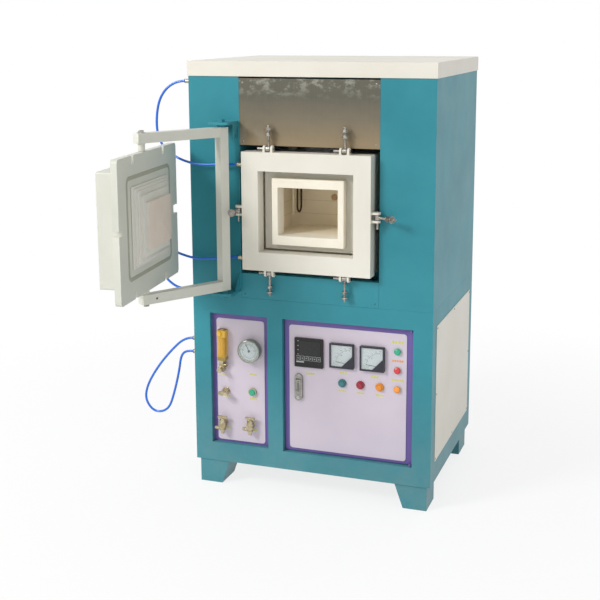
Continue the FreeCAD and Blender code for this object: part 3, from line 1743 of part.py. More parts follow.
def instruments():
    fronting = f"({face_front} - controller_proud)"
    across = about("controller_size", "controller_across")
    bezel = block(
        "ControllerBezel",
        across,
        (fronting, face_front),
        about("controller_size", "controller_place"),
    )
    bezel = rounded("ControllerRound", bezel, size("controller_corner"), (0, 1, 0))
    across = about("controller_body", "controller_across")
    depth = (face_front, f"{face_front} + controller_depth")
    body = block("ControllerBody", across, depth, about("controller_body", "controller_place"))
    across = about("window_size", "controller_across")
    depth = (f"{fronting} - 1", f"{fronting} + window_depth")
    window = block("ControllerWindow", across, depth, about("window_size", "controller_place"))
    keep(
        "temperature_controller",
        cut("TemperatureController", fuse("ControllerSolid", bezel, body), window),
    )
    cases = []
    fronting = f"({face_front} - meter_proud)"
    dial_plane = f"({fronting} + dial_depth)"
    for label, name, x in (
        ("current_needle", "Current", "meter_first"),
        ("voltage_needle", "Voltage", "meter_second"),
    ):
        case = block(
            name + "Case",
            about("meter_size", x),
            (fronting, face_front),
            about("meter_size", "meter_place"),
        )
        case = rounded(name + "CaseRound", case, size("meter_corner"), (0, 1, 0))
        barrel = rod(
            name + "Barrel",
            "meter_barrel",
            (x, face_front, "meter_place"),
            "meter_barrel_depth",
            (0, 1, 0),
        )
        dial = about("dial_size", "meter_place")
        dish = block(name + "Dish", about("dial_size", x), (f"{fronting} - 1", dial_plane), dial)
        # The cover over the pivot in the dial's lower right corner.
        corner = doc.addObject("Part::Wedge", name + "Corner")
        for word, value in (
            ("Xmin", "-corner_cover"),
            ("Xmax", "0"),
            ("X2min", "-corner_tip"),
            ("X2max", "0"),
            ("Ymin", "0"),
            ("Ymax", "corner_cover"),
            ("Zmin", "0"),
            ("Zmax", "corner_wall"),
            ("Z2min", "0"),
            ("Z2max", "corner_wall"),
        ):
            corner.setExpression(word, linked(value))
        corner.Placement = Placement(Vector(), Rotation(Vector(1, 0, 0), 90))
        place(
            corner,
            (f"{x} + dial_size / 2", f"{fronting} + corner_wall", "meter_place - dial_size / 2"),
        )
        spot = (f"{x} + needle_inset", "meter_place - needle_inset")
        post = rod(
            name + "Post",
            "needle_post",
            (spot[0], dial_plane, spot[1]),
            "dial_depth - 1",
            (0, -1, 0),
        )
        opened = cut(name + "Open", fuse(name + "Solid", case, barrel), dish)
        cases.append(fuse(name + "Meter", opened, corner, post))
        hand_plane = f"({dial_plane} - seat_gap)"
        keep(
            label,
            needle(name + "Needle", spot[0], hand_plane, spot[1], "needle_length", size("needle_angle")),
        )
    keep("panel_meters", group("PanelMeters", *cases))


def lamps_and_buttons():
    lamps = []
    for name, level in lamp_spots:
        ring = rod(
            name + "Ring",
            "lamp_ring",
            ("lamp_across", face_front, level),
            "lamp_ring_height",
            (0, -1, 0),
        )
        lens = rod(
            name + "Lens",
            "lamp_lens",
            ("lamp_across", face_front, level),
            "lamp_proud",
            (0, -1, 0),
        )
        barrel = rod(
            name + "Barrel",
            "barrel_radius",
            ("lamp_across", face_front, level),
            "barrel_depth",
            (0, 1, 0),
        )
        lamps.append(fuse(name, ring, lens, barrel))
    keep("indicator_lamps", group("IndicatorLamps", *lamps))
    keep(
        "button_mounts",
        group(
            "ButtonMounts",
            *[push_button(label, name, x, "button_place") for label, name, x in button_spots],
        ),
    )


def plane_lock():
    x = "lock_across"
    fronting = f"({face_front} - lock_proud)"
    plate = block("LockPlate", about("lock_width", x), (fronting, face_front), ("lock_low", "lock_high"))
    plate = rounded("LockRound", plate, size("lock_width") / 2 - hair, (0, 1, 0))
    box = block(
        "LockBox",
        about("lock_width - 2 * lock_rim", x),
        (face_front, f"{face_front} + lock_body_depth"),
        ("lock_low + lock_rim", "lock_high - lock_rim"),
    )
    box = rounded("LockBoxRound", box, size("lock_width") / 2 - size("lock_rim") - hair, (0, 1, 0))
    bed = block(
        "HandleBed",
        about("handle_width + 2 * handle_play", x),
        (f"{fronting} - 1", f"{fronting} + handle_wall + handle_play"),
        ("handle_low - 1", "handle_top + handle_wall"),
    )
    level = "handle_top - handle_wall / 2"
    axis_y = f"({fronting} + handle_wall / 2)"
    button_way = rod(
        "LockButtonWay",
        "lock_button_radius + button_play",
        (x, f"{fronting} - 1", "lock_button_place"),
        "lock_button_way + 1",
        (0, 1, 0),
    )
    pin = rod(
        "HandlePin",
        "handle_pin",
        (f"{x} - handle_width / 2 - handle_bite", axis_y, level),
        "handle_width + 2 * handle_bite",
        (1, 0, 0),
    )
    body = cut("LockOpen", fuse("LockSolid", plate, box), bed, button_way)
    keep("lock_body", fuse("LockBody", body, pin))
    lever = block(
        "LockLever",
        about("handle_width", x),
        (fronting, f"{fronting} + handle_wall"),
        ("handle_low", "handle_top - handle_wall / 2"),
    )
    knuckle = rod(
        "LockKnuckle",
        "handle_wall / 2",
        (f"{x} - handle_width / 2", axis_y, level),
        "handle_width",
        (1, 0, 0),
    )
    bore = rod(
        "LockLeverBore",
        "handle_pin + pin_play",
        (f"{x} - handle_width", axis_y, level),
        "2 * handle_width",
        (1, 0, 0),
    )
    keep("lock_handle", cut("LockHandle", fuse("LeverSolid", lever, knuckle), bore))
    keep(
        "lock_button",
        rod(
            "LockButton",
            "lock_button_radius",
            (x, f"{fronting} - 1", "lock_button_place"),
            "lock_button_length",
            (0, 1, 0),
        ),
    )


def power_unit():
    # A mounting plate on its foot with three devices, and a transformer on the floor.
    floor = "(foot_height + sheet_wall)"
    board = ("unit_left", "unit_right")
    plate = block("UnitPlate", board, ("unit_depth", "unit_depth + unit_wall"), (floor, "unit_high"))
    foot = block(
        "UnitFoot",
        board,
        ("unit_depth", "unit_depth + unit_foot"),
        (floor, f"{floor} + unit_wall"),
    )
    devices = []
    for word in ("breaker", "contactor", "regulator"):
        left = f"unit_left + {word}_place"
        top = "unit_high - device_fall"
        devices.append(
            block(
                word.title(),
                (left, f"{left} + {word}_width"),
                (f"unit_depth - {word}_depth", "unit_depth"),
                (f"{top} - {word}_height", top),
            )
        )
    across = "((unit_left + unit_right) / 2)"
    deep = about("core_depth", "core_middle")
    core = block("Core", about("core_width", across), deep, (floor, f"{floor} + core_height"))
    window = block(
        "CoreWindow",
        about("core_width - 2 * core_leg", across),
        about("core_depth + 2", "core_middle"),
        (f"{floor} + core_leg", f"{floor} + core_height - core_leg"),
    )
    level = f"{floor} + core_height / 2"
    near = "core_middle - core_depth / 2 - coil_proud"
    length = "core_depth + 2 * coil_proud"
    coil = rod("Coil", "coil_radius", (across, near, level), length, (0, 1, 0))
    coil_way = rod(
        "CoilWay",
        "coil_radius - coil_wall",
        (across, f"{near} - 1", level),
        f"{length} + 2",
        (0, 1, 0),
    )
    stand = block(
        "CoilStand",
        about("stand_width", across),
        deep,
        (f"{floor} + stand_low", f"{floor} + stand_high"),
    )
    stand_way = rod("StandWay", "coil_radius - 1", (across, near, level), length, (0, 1, 0))
    shapes = (
        cut("CoreOpen", core, window),
        cut("CoilOpen", coil, coil_way),
        cut("StandCut", stand, stand_way),
    )
    transformer = fuse("Transformer", *shapes)
    keep("power_unit", group("PowerUnit", fuse("UnitBoard", plate, foot), *devices, transformer))


# The hoses, each from fitting to fitting.
upper_route = (
    (-418, -288, 1336),
    (-458, -288, 1336),
    (-508, -296, 1288),
    (-522, -300, 1205),
    (-508, -306, 1138),
    (-450, -316, 1094),
    (-362, -328, 1073),
    (-282, -330, 1081),
    (-228, -330, 1081),
)
middle_route = (
    (-228, -330, 784),
    (-260, -330, 784),
    (-315, -331, 775),
    (-375, -331, 770),
    (-432, -330, 782),
    (-478, -323, 798),
    (-512, -313, 784),
    (-524, -305, 742),
    (-510, -297, 698),
    (-480, -292, 668),
    (-448, -290, 657),
    (-418, -290, 657),
)
loop_route = (
    (-418, -272, 486),
    (-450, -272, 486),
    (-508, -273, 430),
    (-558, -274, 368),
    (-598, -274, 300),
    (-606, -273, 248),
    (-572, -272, 208),
    (-520, -271, 222),
    (-497, -270, 285),
    (-476, -270, 368),
    (-468, -271, 420),
    (-447, -272, 440),
    (-418, -272, 440),
)


def fitting_end(name):
    return doc.getObject(name + "Socket").Placement.Base - Vector(size("fitting_reach"), 0, 0)


def carried(route, first, last):
    # The route's points, shifted with the two fittings that it joins.
    points = [Vector(*point) for point in route]
    runs = [(after - before).Length for before, after in zip(points, points[1:])]
    first_shift = fitting_end(first) - points[0]
    last_shift = fitting_end(last) - points[-1]
    moved = []
    for number, point in enumerate(points):
        share = sum(runs[:number]) / sum(runs)
        moved.append(point + first_shift * (1 - share) + last_shift * share)
    return moved


def hose(label, name, route, first_fitting, last_fitting):
    points = carried(route, first_fitting, last_fitting)
    edges = []
    radii = []
    start = points[0]
    length = 0
    for before, corner, after in zip(points, points[1:], points[2:]):
        arriving = corner - before
        leaving = after - corner
        short = min(arriving.Length, leaving.Length)
        half_turn = arriving.getAngle(leaving) / 2
        back_off = 0.45 * short
        radii.append(back_off / math.tan(half_turn))
        arriving.normalize()
        leaving.normalize()
        first = corner - arriving * back_off
        last = corner + leaving * back_off
        inward = (leaving - arriving).normalize()
        reach = radii[-1] / math.cos(half_turn) - radii[-1]
        edges.append(Part.LineSegment(start, first).toShape())
        edges.append(Part.Arc(first, corner + inward * reach, last).toShape())
        length += (first - start).Length + 2 * half_turn * radii[-1]
        start = last
    edges.append(Part.LineSegment(start, points[-1]).toShape())
    length += (points[-1] - start).Length
    radius = size("hose_radius")
    ring = Part.Wire(Part.Circle(points[0], points[1] - points[0], radius).toShape())
    solid = Part.Wire(edges).makePipeShell([ring], True, True)
    item = doc.addObject("Part::Feature", name)
    item.Shape = solid
    item.Placement = Placement()
    keep(label, item)
    print(
        label,
        "radii",
        [round(value) for value in radii],
        "length",
        round(length),
        "volume",
        round(solid.Volume / (math.pi * radius**2 * length), 4),
    )


def hose_fittings():
    made = []
    for name, x, y, z in (
        ("FeedFitting", f"-{side}", "feed_depth", "feed_place"),
        ("ReturnFitting", f"-{side}", "return_depth", "return_place"),
        ("LoopFittingHigh", f"-{side}", "loop_depth", "loop_high"),
        ("LoopFittingLow", f"-{side}", "loop_depth", "loop_low"),
        ("FlangeFittingHigh", "-vessel_width / 2", "flange_port_depth", "feed_port"),
        ("FlangeFittingLow", "-vessel_width / 2", "flange_port_depth", "return_port"),
    ):
        inside = rod(name + "Inside", "fitting_radius", (x, y, z), "fitting_inside", (1, 0, 0))
        hexagonal = hexagon(name + "Hex", "fitting_hex", (x, y, z), "fitting_hex_wall", (-1, 0, 0))
        socket = rod(name + "Socket", "fitting_socket", (x, y, z), "fitting_reach", (-1, 0, 0))
        made.append(fuse(name, inside, hexagonal, socket))
    spot = ("gland_across", "gland_place")
    inside = rod(
        "GlandInside",
        "gland_radius - gland_wall",
        (spot[0], back, spot[1]),
        "gland_inside",
        (0, -1, 0),
    )
    nut = hexagon(
        "GlandHex",
        "gland_radius + gland_lap",
        (spot[0], back, spot[1]),
        "gland_hex_height",
        (0, 1, 0),
    )
    cap = doc.addObject("Part::Cone", "GlandCap")
    cap.setExpression("Radius1", linked("gland_radius"))
    cap.setExpression("Radius2", linked("gland_radius - gland_taper"))
    cap.setExpression("Height", linked("gland_cap_height"))
    cap.Placement = Placement(Vector(), Rotation(Vector(0, 0, 1), Vector(0, 1, 0)))
    place(cap, (spot[0], f"{back} + gland_hex_height", spot[1]))
    length = "gland_inside + gland_hex_height + gland_cap_height + 2"
    way = rod(
        "GlandWay",
        "gland_bore",
        (spot[0], f"{back} - gland_inside - 1", spot[1]),
        length,
        (0, 1, 0),
    )
    made.append(cut("Gland", fuse("GlandSolid", inside, nut, cap), way))
    keep("hose_fittings", group("HoseFittings", *made))


base_cabinet()
upper_cabinet()
top_cover()
front_plates()
cover_panels()
feet()
furnace_vessel()
lining()
heating_elements()
vessel_rails()
swing_bolts()
hinge_brackets()
swing_yoke()
door()
gas_panel()
flowmeter()
pressure_gauge()
gas_valves()
control_door()
instruments()
lamps_and_buttons()
plane_lock()
power_unit()
hose_fittings()
doc.recompute()
hose("upper_hose", "UpperHose", upper_route, "FeedFitting", "FlangeFittingHigh")
hose("middle_hose", "MiddleHose", middle_route, "FlangeFittingLow", "ReturnFitting")
hose("loop_hose", "LoopHose", loop_route, "LoopFittingHigh", "LoopFittingLow")
doc.recompute()

for item in doc.Objects:
    if "Invalid" in item.State or "Error" in item.State:
        raise RuntimeError(f"{item.Name} {item.Label} could not be made")
for item in pieces:
    if item.Shape.isNull() or not item.Shape.isValid() or not item.Shape.Solids:
        raise RuntimeError(f"{item.Label} is not a sound solid")

os.makedirs("parts", exist_ok=True)
for item in pieces:
    item.Shape.exportStep(f"parts/{item.Label}.step")
print(len(pieces), "sub-parts")
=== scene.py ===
import json
import math

import bmesh
import bpy
from mathutils import Matrix, Vector

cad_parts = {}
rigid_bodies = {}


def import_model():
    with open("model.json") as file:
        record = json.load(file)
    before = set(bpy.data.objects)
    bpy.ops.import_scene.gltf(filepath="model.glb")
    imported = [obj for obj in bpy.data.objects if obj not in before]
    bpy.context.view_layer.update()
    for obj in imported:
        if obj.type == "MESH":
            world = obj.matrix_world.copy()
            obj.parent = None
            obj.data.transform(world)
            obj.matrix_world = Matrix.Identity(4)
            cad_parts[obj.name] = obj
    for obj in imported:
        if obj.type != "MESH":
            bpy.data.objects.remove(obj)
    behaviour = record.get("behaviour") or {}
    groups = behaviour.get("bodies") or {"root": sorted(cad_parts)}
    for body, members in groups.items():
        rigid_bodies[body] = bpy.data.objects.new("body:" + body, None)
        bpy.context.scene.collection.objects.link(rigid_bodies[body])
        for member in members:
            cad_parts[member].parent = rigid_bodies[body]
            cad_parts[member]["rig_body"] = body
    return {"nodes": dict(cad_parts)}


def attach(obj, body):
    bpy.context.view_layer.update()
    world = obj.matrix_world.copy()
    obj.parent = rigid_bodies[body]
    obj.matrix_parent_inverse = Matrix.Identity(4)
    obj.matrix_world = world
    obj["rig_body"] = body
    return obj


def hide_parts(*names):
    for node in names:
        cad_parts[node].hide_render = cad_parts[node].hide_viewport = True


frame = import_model()
nodes = frame["nodes"]
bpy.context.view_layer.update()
print("frame loaded,", len(nodes), "nodes")

# camera, solved from the cabinet's edges
cameraSetup = {
    "place": (1.1241, -3.544, 1.5108),
    "yaw": 0.3421,
    "pitch": -0.1906,
    "roll": -0.0051,
    "lens": 67.08,
    "shiftUp": -0.1,
}


def addCamera(setup):
    turned = Matrix.Rotation(setup["yaw"], 4, "Z") @ Matrix.Rotation(math.pi / 2 + setup["pitch"], 4, "X")
    turned = turned @ Matrix.Rotation(setup["roll"], 4, "Z")
    lens = bpy.data.cameras.new("photoCamera")
    lens.lens = setup["lens"]
    lens.shift_y = setup["shiftUp"]
    lens.clip_end = 60
    camera = bpy.data.objects.new("photoCamera", lens)
    camera.matrix_world = Matrix.Translation(setup["place"]) @ turned
    bpy.context.scene.collection.objects.link(camera)
    bpy.context.scene.camera = camera


addCamera(cameraSetup)
print("camera placed")


def tone(red, green, blue):  # screen colour 0-255 to a scene colour
    parts = [value / 255 for value in (red, green, blue)]
    return tuple(v / 12.92 if v <= 0.04045 else ((v + 0.055) / 1.055) ** 2.4 for v in parts) + (1.0,)


def shifted(colour, times=1, plus=0):  # a lighter or darker tone of a screen colour
    return tone(*[min(255, max(0, part * times + plus)) for part in colour])


class Wire:  # an output that can be added, multiplied and compared
    def __init__(self, graph, socket):
        self.graph = graph
        self.socket = socket

    def combine(self, operation, other):
        return self.graph.node("ShaderNodeMath", {"operation": operation}, {0: self, 1: other})

    def __add__(self, other):
        return self.combine("ADD", other)

    def __mul__(self, other):
        return self.combine("MULTIPLY", other)

    def __gt__(self, other):
        return self.combine("GREATER_THAN", other)


class Graph:  # a tree of shader nodes
    def __init__(self, tree):
        self.tree = tree
        tree.nodes.clear()

    def node(self, kind, settings=None, sockets=None, out=0):
        made = self.tree.nodes.new(kind)
        for key, value in (settings or {}).items():
            setattr(made, key, value)
        self.feed(made, sockets or {})
        return Wire(self, made.outputs[out])

    def feed(self, made, sockets):
        for key, value in sockets.items():
            if isinstance(value, Wire):
                self.tree.links.new(value.socket, made.inputs[key])
            else:
                made.inputs[key].default_value = value


class Recipe(Graph):  # one material
    def __init__(self, name):
        self.material = bpy.data.materials.new(name)
        self.material.use_nodes = True
        super().__init__(self.material.node_tree)
        self.shader = self.tree.nodes.new("ShaderNodeBsdfPrincipled")
        self.last = self.tree.nodes.new("ShaderNodeOutputMaterial")
        self.tree.links.new(self.shader.outputs[0], self.last.inputs[0])
        self.place = self.node("ShaderNodeTexCoord", out="Object")

    def noise(self, scale, detail=2, rough=0.5, stretch=(1, 1, 1), seed=0):
        mapping = {"Vector": self.place, "Scale": stretch, "Location": (seed, seed, seed)}
        spot = self.node("ShaderNodeMapping", {}, mapping)
        sockets = {"Vector": spot, "Scale": scale, "Detail": detail, "Roughness": rough}
        return self.node("ShaderNodeTexNoise", {}, sockets)

    def between(self, value, low, high, toLow=0.0, toHigh=1.0):
        return self.node("ShaderNodeMapRange", {}, {0: value, 1: low, 2: high, 3: toLow, 4: toHigh})

    def mix(self, factor, first, second):
        return self.node("ShaderNodeMix", {"data_type": "RGBA"}, {0: factor, 6: first, 7: second}, out=2)

    def axis(self, letter):
        return self.node("ShaderNodeSeparateXYZ", {}, {0: self.place}, out=letter)

    def bump(self, height, strength, distance):
        return self.node("ShaderNodeBump", {}, {"Height": height, "Strength": strength, "Distance": distance})

    def finish(self, **sockets):
        names = {"colour": "Base Color", "rough": "Roughness", "metal": "Metallic", "normal": "Normal",
                 "coat": "Coat Weight", "coatRough": "Coat Roughness", "alpha": "Alpha", "glow": "Emission Color",
                 "glowPower": "Emission Strength", "shine": "Specular IOR Level"}
        self.feed(self.shader, {names[key]: value for key, value in sockets.items()})
        return self.material


paints = {  # colour, shade, roughness, orange peel, dust, coat, shine
    "tealPaint": ((60, 146, 159), (48, 130, 143), 0.4, 0.12, 0.3, 0.03, 0.22),
    "creamPaint": ((233, 230, 219), (222, 217, 203), 0.42, 0.1, 0.15, 0.06, 0.35),
    "doorPaint": ((221, 221, 210), (206, 207, 195), 0.45, 0.12, 0.0, 0.08, 0.4),
    "purplePaint": ((118, 98, 168), (102, 84, 150), 0.4, 0.1, 0.0, 0.1, 0.4),
    "plateGrey": ((214, 203, 214), (202, 192, 206), 0.38, 0.05, 0.0, 0.1, 0.4),
    "unitGrey": ((150, 153, 156), (134, 137, 140), 0.5, 0.1, 0.3, 0.05, 0.4),
}


def paint(name, colour, shade, roughness, peel, dusty, coat, shine):
    recipe = Recipe(name)
    patches = recipe.between(recipe.noise(2.6, 4, 0.6), 0.3, 0.7)
    mixed = recipe.mix(patches, tone(*colour), tone(*shade))
    flecks = recipe.noise(420, 2, 0.6) > 0.73
    mixed = recipe.mix(flecks * 0.12, mixed, shifted(colour, plus=46))
    dust = recipe.between(recipe.axis("Z"), 0.45, 0.05) * recipe.noise(14, 5, 0.65) * dusty
    mixed = recipe.mix(dust, mixed, tone(168, 160, 146))
    rough = recipe.noise(9, 3, 0.6) * 0.14 + (roughness - 0.07)
    skin = recipe.noise(760, 2, 0.5) * 0.7 + recipe.noise(95, 2, 0.5) * 0.3
    return recipe.finish(colour=mixed, rough=rough, normal=recipe.bump(skin, peel, 0.0004), coat=coat,
                         coatRough=0.24, shine=shine)


def stainless():
    recipe = Recipe("stainlessSheet")
    streaks = recipe.noise(1, 5, 0.75, (700, 700, 5))
    clouds = recipe.noise(9, 6, 0.62, (1, 1, 1.5))
    # colour in bands by height is painted reflection: warm brown low, dark grey in the middle
    height = recipe.axis("Z") + clouds * 0.05
    colour = recipe.mix(recipe.between(height, 1.17, 1.25), tone(146, 128, 98), tone(112, 104, 88))
    colour = recipe.mix(recipe.between(height, 1.25, 1.32), colour, tone(84, 84, 74))
    # top_glare: painted highlight in light patches along the top of the plate
    top_glare = recipe.between(recipe.noise(26, 5, 0.66, (1, 1, 1.4), 3), 0.5, 0.6)
    top_glare = top_glare * recipe.between(height, 1.31, 1.36)
    colour = recipe.mix(top_glare * 0.7, colour, tone(156, 157, 146))
    # side_glare: painted reflection in lighter patches low on the left
    side_glare = recipe.between(recipe.noise(19, 5, 0.6, seed=8), 0.5, 0.62) * recipe.between(recipe.axis("X"), -0.12, -0.2)
    colour = recipe.mix(side_glare * recipe.between(height, 1.24, 1.19) * 0.7, colour, tone(158, 157, 148))
    colour = recipe.mix(streaks * 0.3, colour, tone(150, 142, 126))
    rough = recipe.between(clouds, 0.3, 0.7, 0.4, 0.56) + streaks * 0.08
    return recipe.finish(colour=colour, metal=0.7, rough=rough, normal=recipe.bump(streaks, 0.12, 0.0003))


def turnedMetal(name, colour, shade, rough, metal=1.0):
    recipe = Recipe(name)
    marks = recipe.noise(1, 4, 0.7, (900, 900, 900))
    tarnish = recipe.between(recipe.noise(60, 4, 0.6), 0.42, 0.66)
    mixed = recipe.mix(tarnish, tone(*colour), tone(*shade))
    mixed = recipe.mix(marks * 0.25, mixed, shifted(colour, plus=-70))
    roughness = tarnish * 0.16 + rough
    return recipe.finish(colour=mixed, metal=metal, rough=roughness, normal=recipe.bump(marks, 0.1, 0.0002))


def refractory(name, colour, stain, grain, bumps):
    recipe = Recipe(name)
    coarse = recipe.noise(grain, 5, 0.72)
    fibres = recipe.noise(grain * 1.7, 3, 0.7, (1, 1, 0.14))
    stains = recipe.between(recipe.noise(6, 4, 0.6), 0.45, 0.75)
    mixed = recipe.mix(stains * 0.6, tone(*colour), tone(*stain))
    pits = recipe.between(coarse, 0.36, 0.3)
    mixed = recipe.mix(pits * 0.5, mixed, shifted(stain, 0.72))
    mixed = recipe.mix(fibres * 0.22, mixed, shifted(colour, plus=14))
    return recipe.finish(colour=mixed, rough=0.92, normal=recipe.bump(coarse * 0.7 + fibres * 0.3, bumps, 0.0012))


def moulded(name, colour, rough, grain=1200, coat=0.0):
    recipe = Recipe(name)
    skin = recipe.noise(grain, 3, 0.6)
    wear = recipe.between(recipe.noise(38, 4, 0.6), 0.5, 0.8)
    mixed = recipe.mix(wear * 0.3, tone(*colour), shifted(colour, 1.12, 9))
    return recipe.finish(colour=mixed, rough=wear * 0.12 + rough, normal=recipe.bump(skin, 0.1, 0.0002), coat=coat,
                         coatRough=0.08)


plastics = {  # colour, roughness, grain, coat
    "gasketRubber": ((166, 166, 150), 0.6, 800),
    "blackCase": ((20, 19, 18), 0.46),
    "meterCase": ((40, 42, 52), 0.34),
    "needleInk": ((24, 24, 26), 0.5),
    "dialInk": ((38, 40, 42), 0.6, 900),
    "dialPaper": ((206, 216, 216), 0.5, 900, 0.2),
    "dialTint": ((166, 176, 180), 0.5, 900, 0.2),
    "amberTube": ((238, 184, 52), 0.2, 500, 0.5),
    "oliveCap": ((150, 128, 44), 0.32, 700, 0.3),
    "capYellow": ((226, 178, 48), 0.3, 700, 0.4),
    "buttonGreen": ((46, 118, 122), 0.24, 600, 0.5),
    "buttonRed": ((158, 22, 44), 0.24, 600, 0.5),
    "buttonOrange": ((228, 142, 34), 0.24, 600, 0.5),
    "redCap": ((176, 30, 52), 0.26, 600, 0.5),
    "hoseBlue": ((30, 108, 214), 0.3, 300, 0.3),
    "colletBlue": ((40, 92, 176), 0.34, 600, 0.2),
    "ringPale": ((196, 198, 194), 0.3, 700, 0.4),
    "labelYellow": ((206, 204, 110), 0.45, 600, 0.2),
    "labelOrange": ((226, 156, 70), 0.45, 600, 0.2),
    "keyInk": ((186, 190, 190), 0.5, 800),
    "keyRubber": ((52, 52, 52), 0.55, 900),
    "screenDim": ((30, 32, 34), 0.3, 900),
    "screenGlass": ((10, 9, 9), 0.16, 300, 0.2),
    # seamRubber: dark grey painted shade for the gap under the lid
    "seamRubber": ((70, 74, 74), 0.7, 800),
    # darkHole: near-black painted shade, laid in holes, slots, recesses and gaps instead of real depth
    "darkHole": ((18, 18, 20), 0.7, 800),
    "jointLine": ((196, 174, 140), 0.9, 400),
    # lockGroove: mid grey painted shade for the grip's groove
    "lockGroove": ((112, 110, 106), 0.45, 900),
    "deviceBlack": ((42, 44, 46), 0.5, 1000),
    "deviceGrey": ((172, 176, 178), 0.5, 1000),
}
clears = {"amberGlass": ((242, 188, 58), 0.5), "clearPane": ((238, 242, 244), 0.1)}
lenses = {"greenLens": ((10, 160, 120), 0.16), "redLens": ((206, 30, 44), 0.16), "orangeLens": ((238, 138, 30), 0.2)}


def clearPlastic(name, colour, share):
    recipe = Recipe(name)
    smears = recipe.between(recipe.noise(46, 4, 0.6), 0.4, 0.75)
    edge = recipe.node("ShaderNodeLayerWeight", {}, {"Blend": 0.25}, out="Facing")
    mixed = recipe.mix(smears * 0.2, tone(*colour), shifted(colour, plus=20))
    alpha = recipe.node("ShaderNodeMath", {"operation": "ADD", "use_clamp": True}, {0: edge * 0.4, 1: share})
    return recipe.finish(colour=mixed, rough=smears * 0.08 + 0.05, alpha=alpha,
                         normal=recipe.bump(recipe.noise(24, 2, 0.5), 0.04, 0.0004), coat=0.5, coatRough=0.05)


def lens(name, colour, glow):
    recipe = Recipe(name)
    depth = recipe.node("ShaderNodeLayerWeight", {}, {"Blend": 0.5}, out="Facing")
    cloudy = recipe.noise(180, 3, 0.6)
    mixed = recipe.mix(depth * 0.7, tone(*colour), shifted(colour, 0.5))
    mixed = recipe.mix(cloudy * 0.14, mixed, shifted(colour, plus=50))
    return recipe.finish(colour=mixed, rough=cloudy * 0.06 + 0.1, coat=0.7, coatRough=0.05, glow=mixed,
                         glowPower=glow, normal=recipe.bump(cloudy, 0.06, 0.0003))


metals = {  # colour, tarnish, roughness, share of metal
    "boltSteel": ((188, 184, 178), (140, 132, 120), 0.26),
    "nickelBrass": ((206, 196, 168), (164, 148, 108), 0.24),
    "lockSteel": ((176, 174, 168), (146, 142, 134), 0.34),
    "darkSteel": ((84, 84, 88), (58, 58, 60), 0.36, 0.8),
    "bezelRing": ((206, 208, 198), (176, 180, 168), 0.24, 0.6),
    "gaugeCase": ((164, 172, 160), (132, 140, 128), 0.28, 0.7),
    "copperWire": ((188, 112, 70), (150, 84, 50), 0.3),
}
boards = {  # colour, stain, grain, bumps
    "fibreBoard": ((206, 203, 192), (186, 180, 166), 240, 0.5),
    "collarBoard": ((242, 236, 220), (228, 216, 192), 210, 0.4),
    "chamberBoard": ((250, 238, 214), (236, 218, 188), 190, 0.5),
    "plugBoard": ((221, 219, 210), (206, 202, 190), 210, 0.35),
    "plugPink": ((224, 211, 198), (210, 194, 180), 190, 0.4),
    "plugTan": ((204, 168, 130), (184, 146, 108), 260, 0.4),
    "elementCrust": ((66, 52, 46), (40, 32, 30), 300, 0.6),
    "sheathCeramic": ((222, 212, 190), (200, 184, 158), 400, 0.2),
}
finishes = {"stainless": stainless()}
for mixer, table in ((paint, paints), (turnedMetal, metals), (refractory, boards), (moulded, plastics),
                     (clearPlastic, clears), (lens, lenses)):
    for name, values in table.items():
        finishes[name] = mixer(name, *values)
print("finishes mixed")


def enrol(piece, body, replaced=()):
    bpy.context.scene.collection.objects.link(piece)
    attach(piece, body)
    if replaced:
        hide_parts(*replaced)


# the three water hoses, routes in millimetres
hoses = {
    "diameter": 0.008,
    "upper_hose": {
        "length": 0.553,
        "route": [(-418, -288, 1336), (-458, -288, 1336), (-508, -296, 1288), (-522, -300, 1205),
            (-508, -306, 1138), (-450, -316, 1094), (-362, -328, 1073), (-282, -330, 1081),
            (-228, -330, 1081)],
    },
    "middle_hose": {
        "length": 0.484,
        "route": [(-228, -330, 784), (-260, -330, 784), (-315, -331, 775), (-375, -331, 770),
            (-432, -330, 782), (-478, -323, 798), (-512, -313, 784), (-524, -305, 742),
            (-510, -297, 698), (-480, -292, 668), (-448, -290, 657), (-418, -290, 657)],
    },
    "loop_hose": {
        "length": 0.677,
        "route": [(-418, -272, 486), (-450, -272, 486), (-508, -273, 430), (-558, -274, 368),
            (-598, -274, 300), (-606, -273, 248), (-572, -272, 208), (-520, -271, 222),
            (-497, -270, 285), (-476, -270, 368), (-468, -271, 420), (-447, -272, 440),
            (-418, -272, 440)],
    },
}


def addHose(name):
    piece = hoses[name]
    route = [tuple(value / 1000 for value in spot) for spot in piece["route"]]
    curve = bpy.data.curves.new(name + "_line", "CURVE")
    curve.dimensions = "3D"
    curve.bevel_depth = hoses["diameter"] / 2
    curve.bevel_resolution = 5
    curve.resolution_u = 10
    curve.use_fill_caps = True
    line = curve.splines.new("NURBS")
    line.points.add(len(route) - 1)
    for point, spot in zip(line.points, route):
        point.co = (*spot, 1)
    line.order_u = 3
    line.use_endpoint_u = True
    curve.materials.append(finishes["hoseBlue"])
    hose = bpy.data.objects.new(name + "_line", curve)
    enrol(hose, "cabinet", (name,))


for name in ("upper_hose", "middle_hose", "loop_hose"):
    addHose(name)
print("hoses laid")


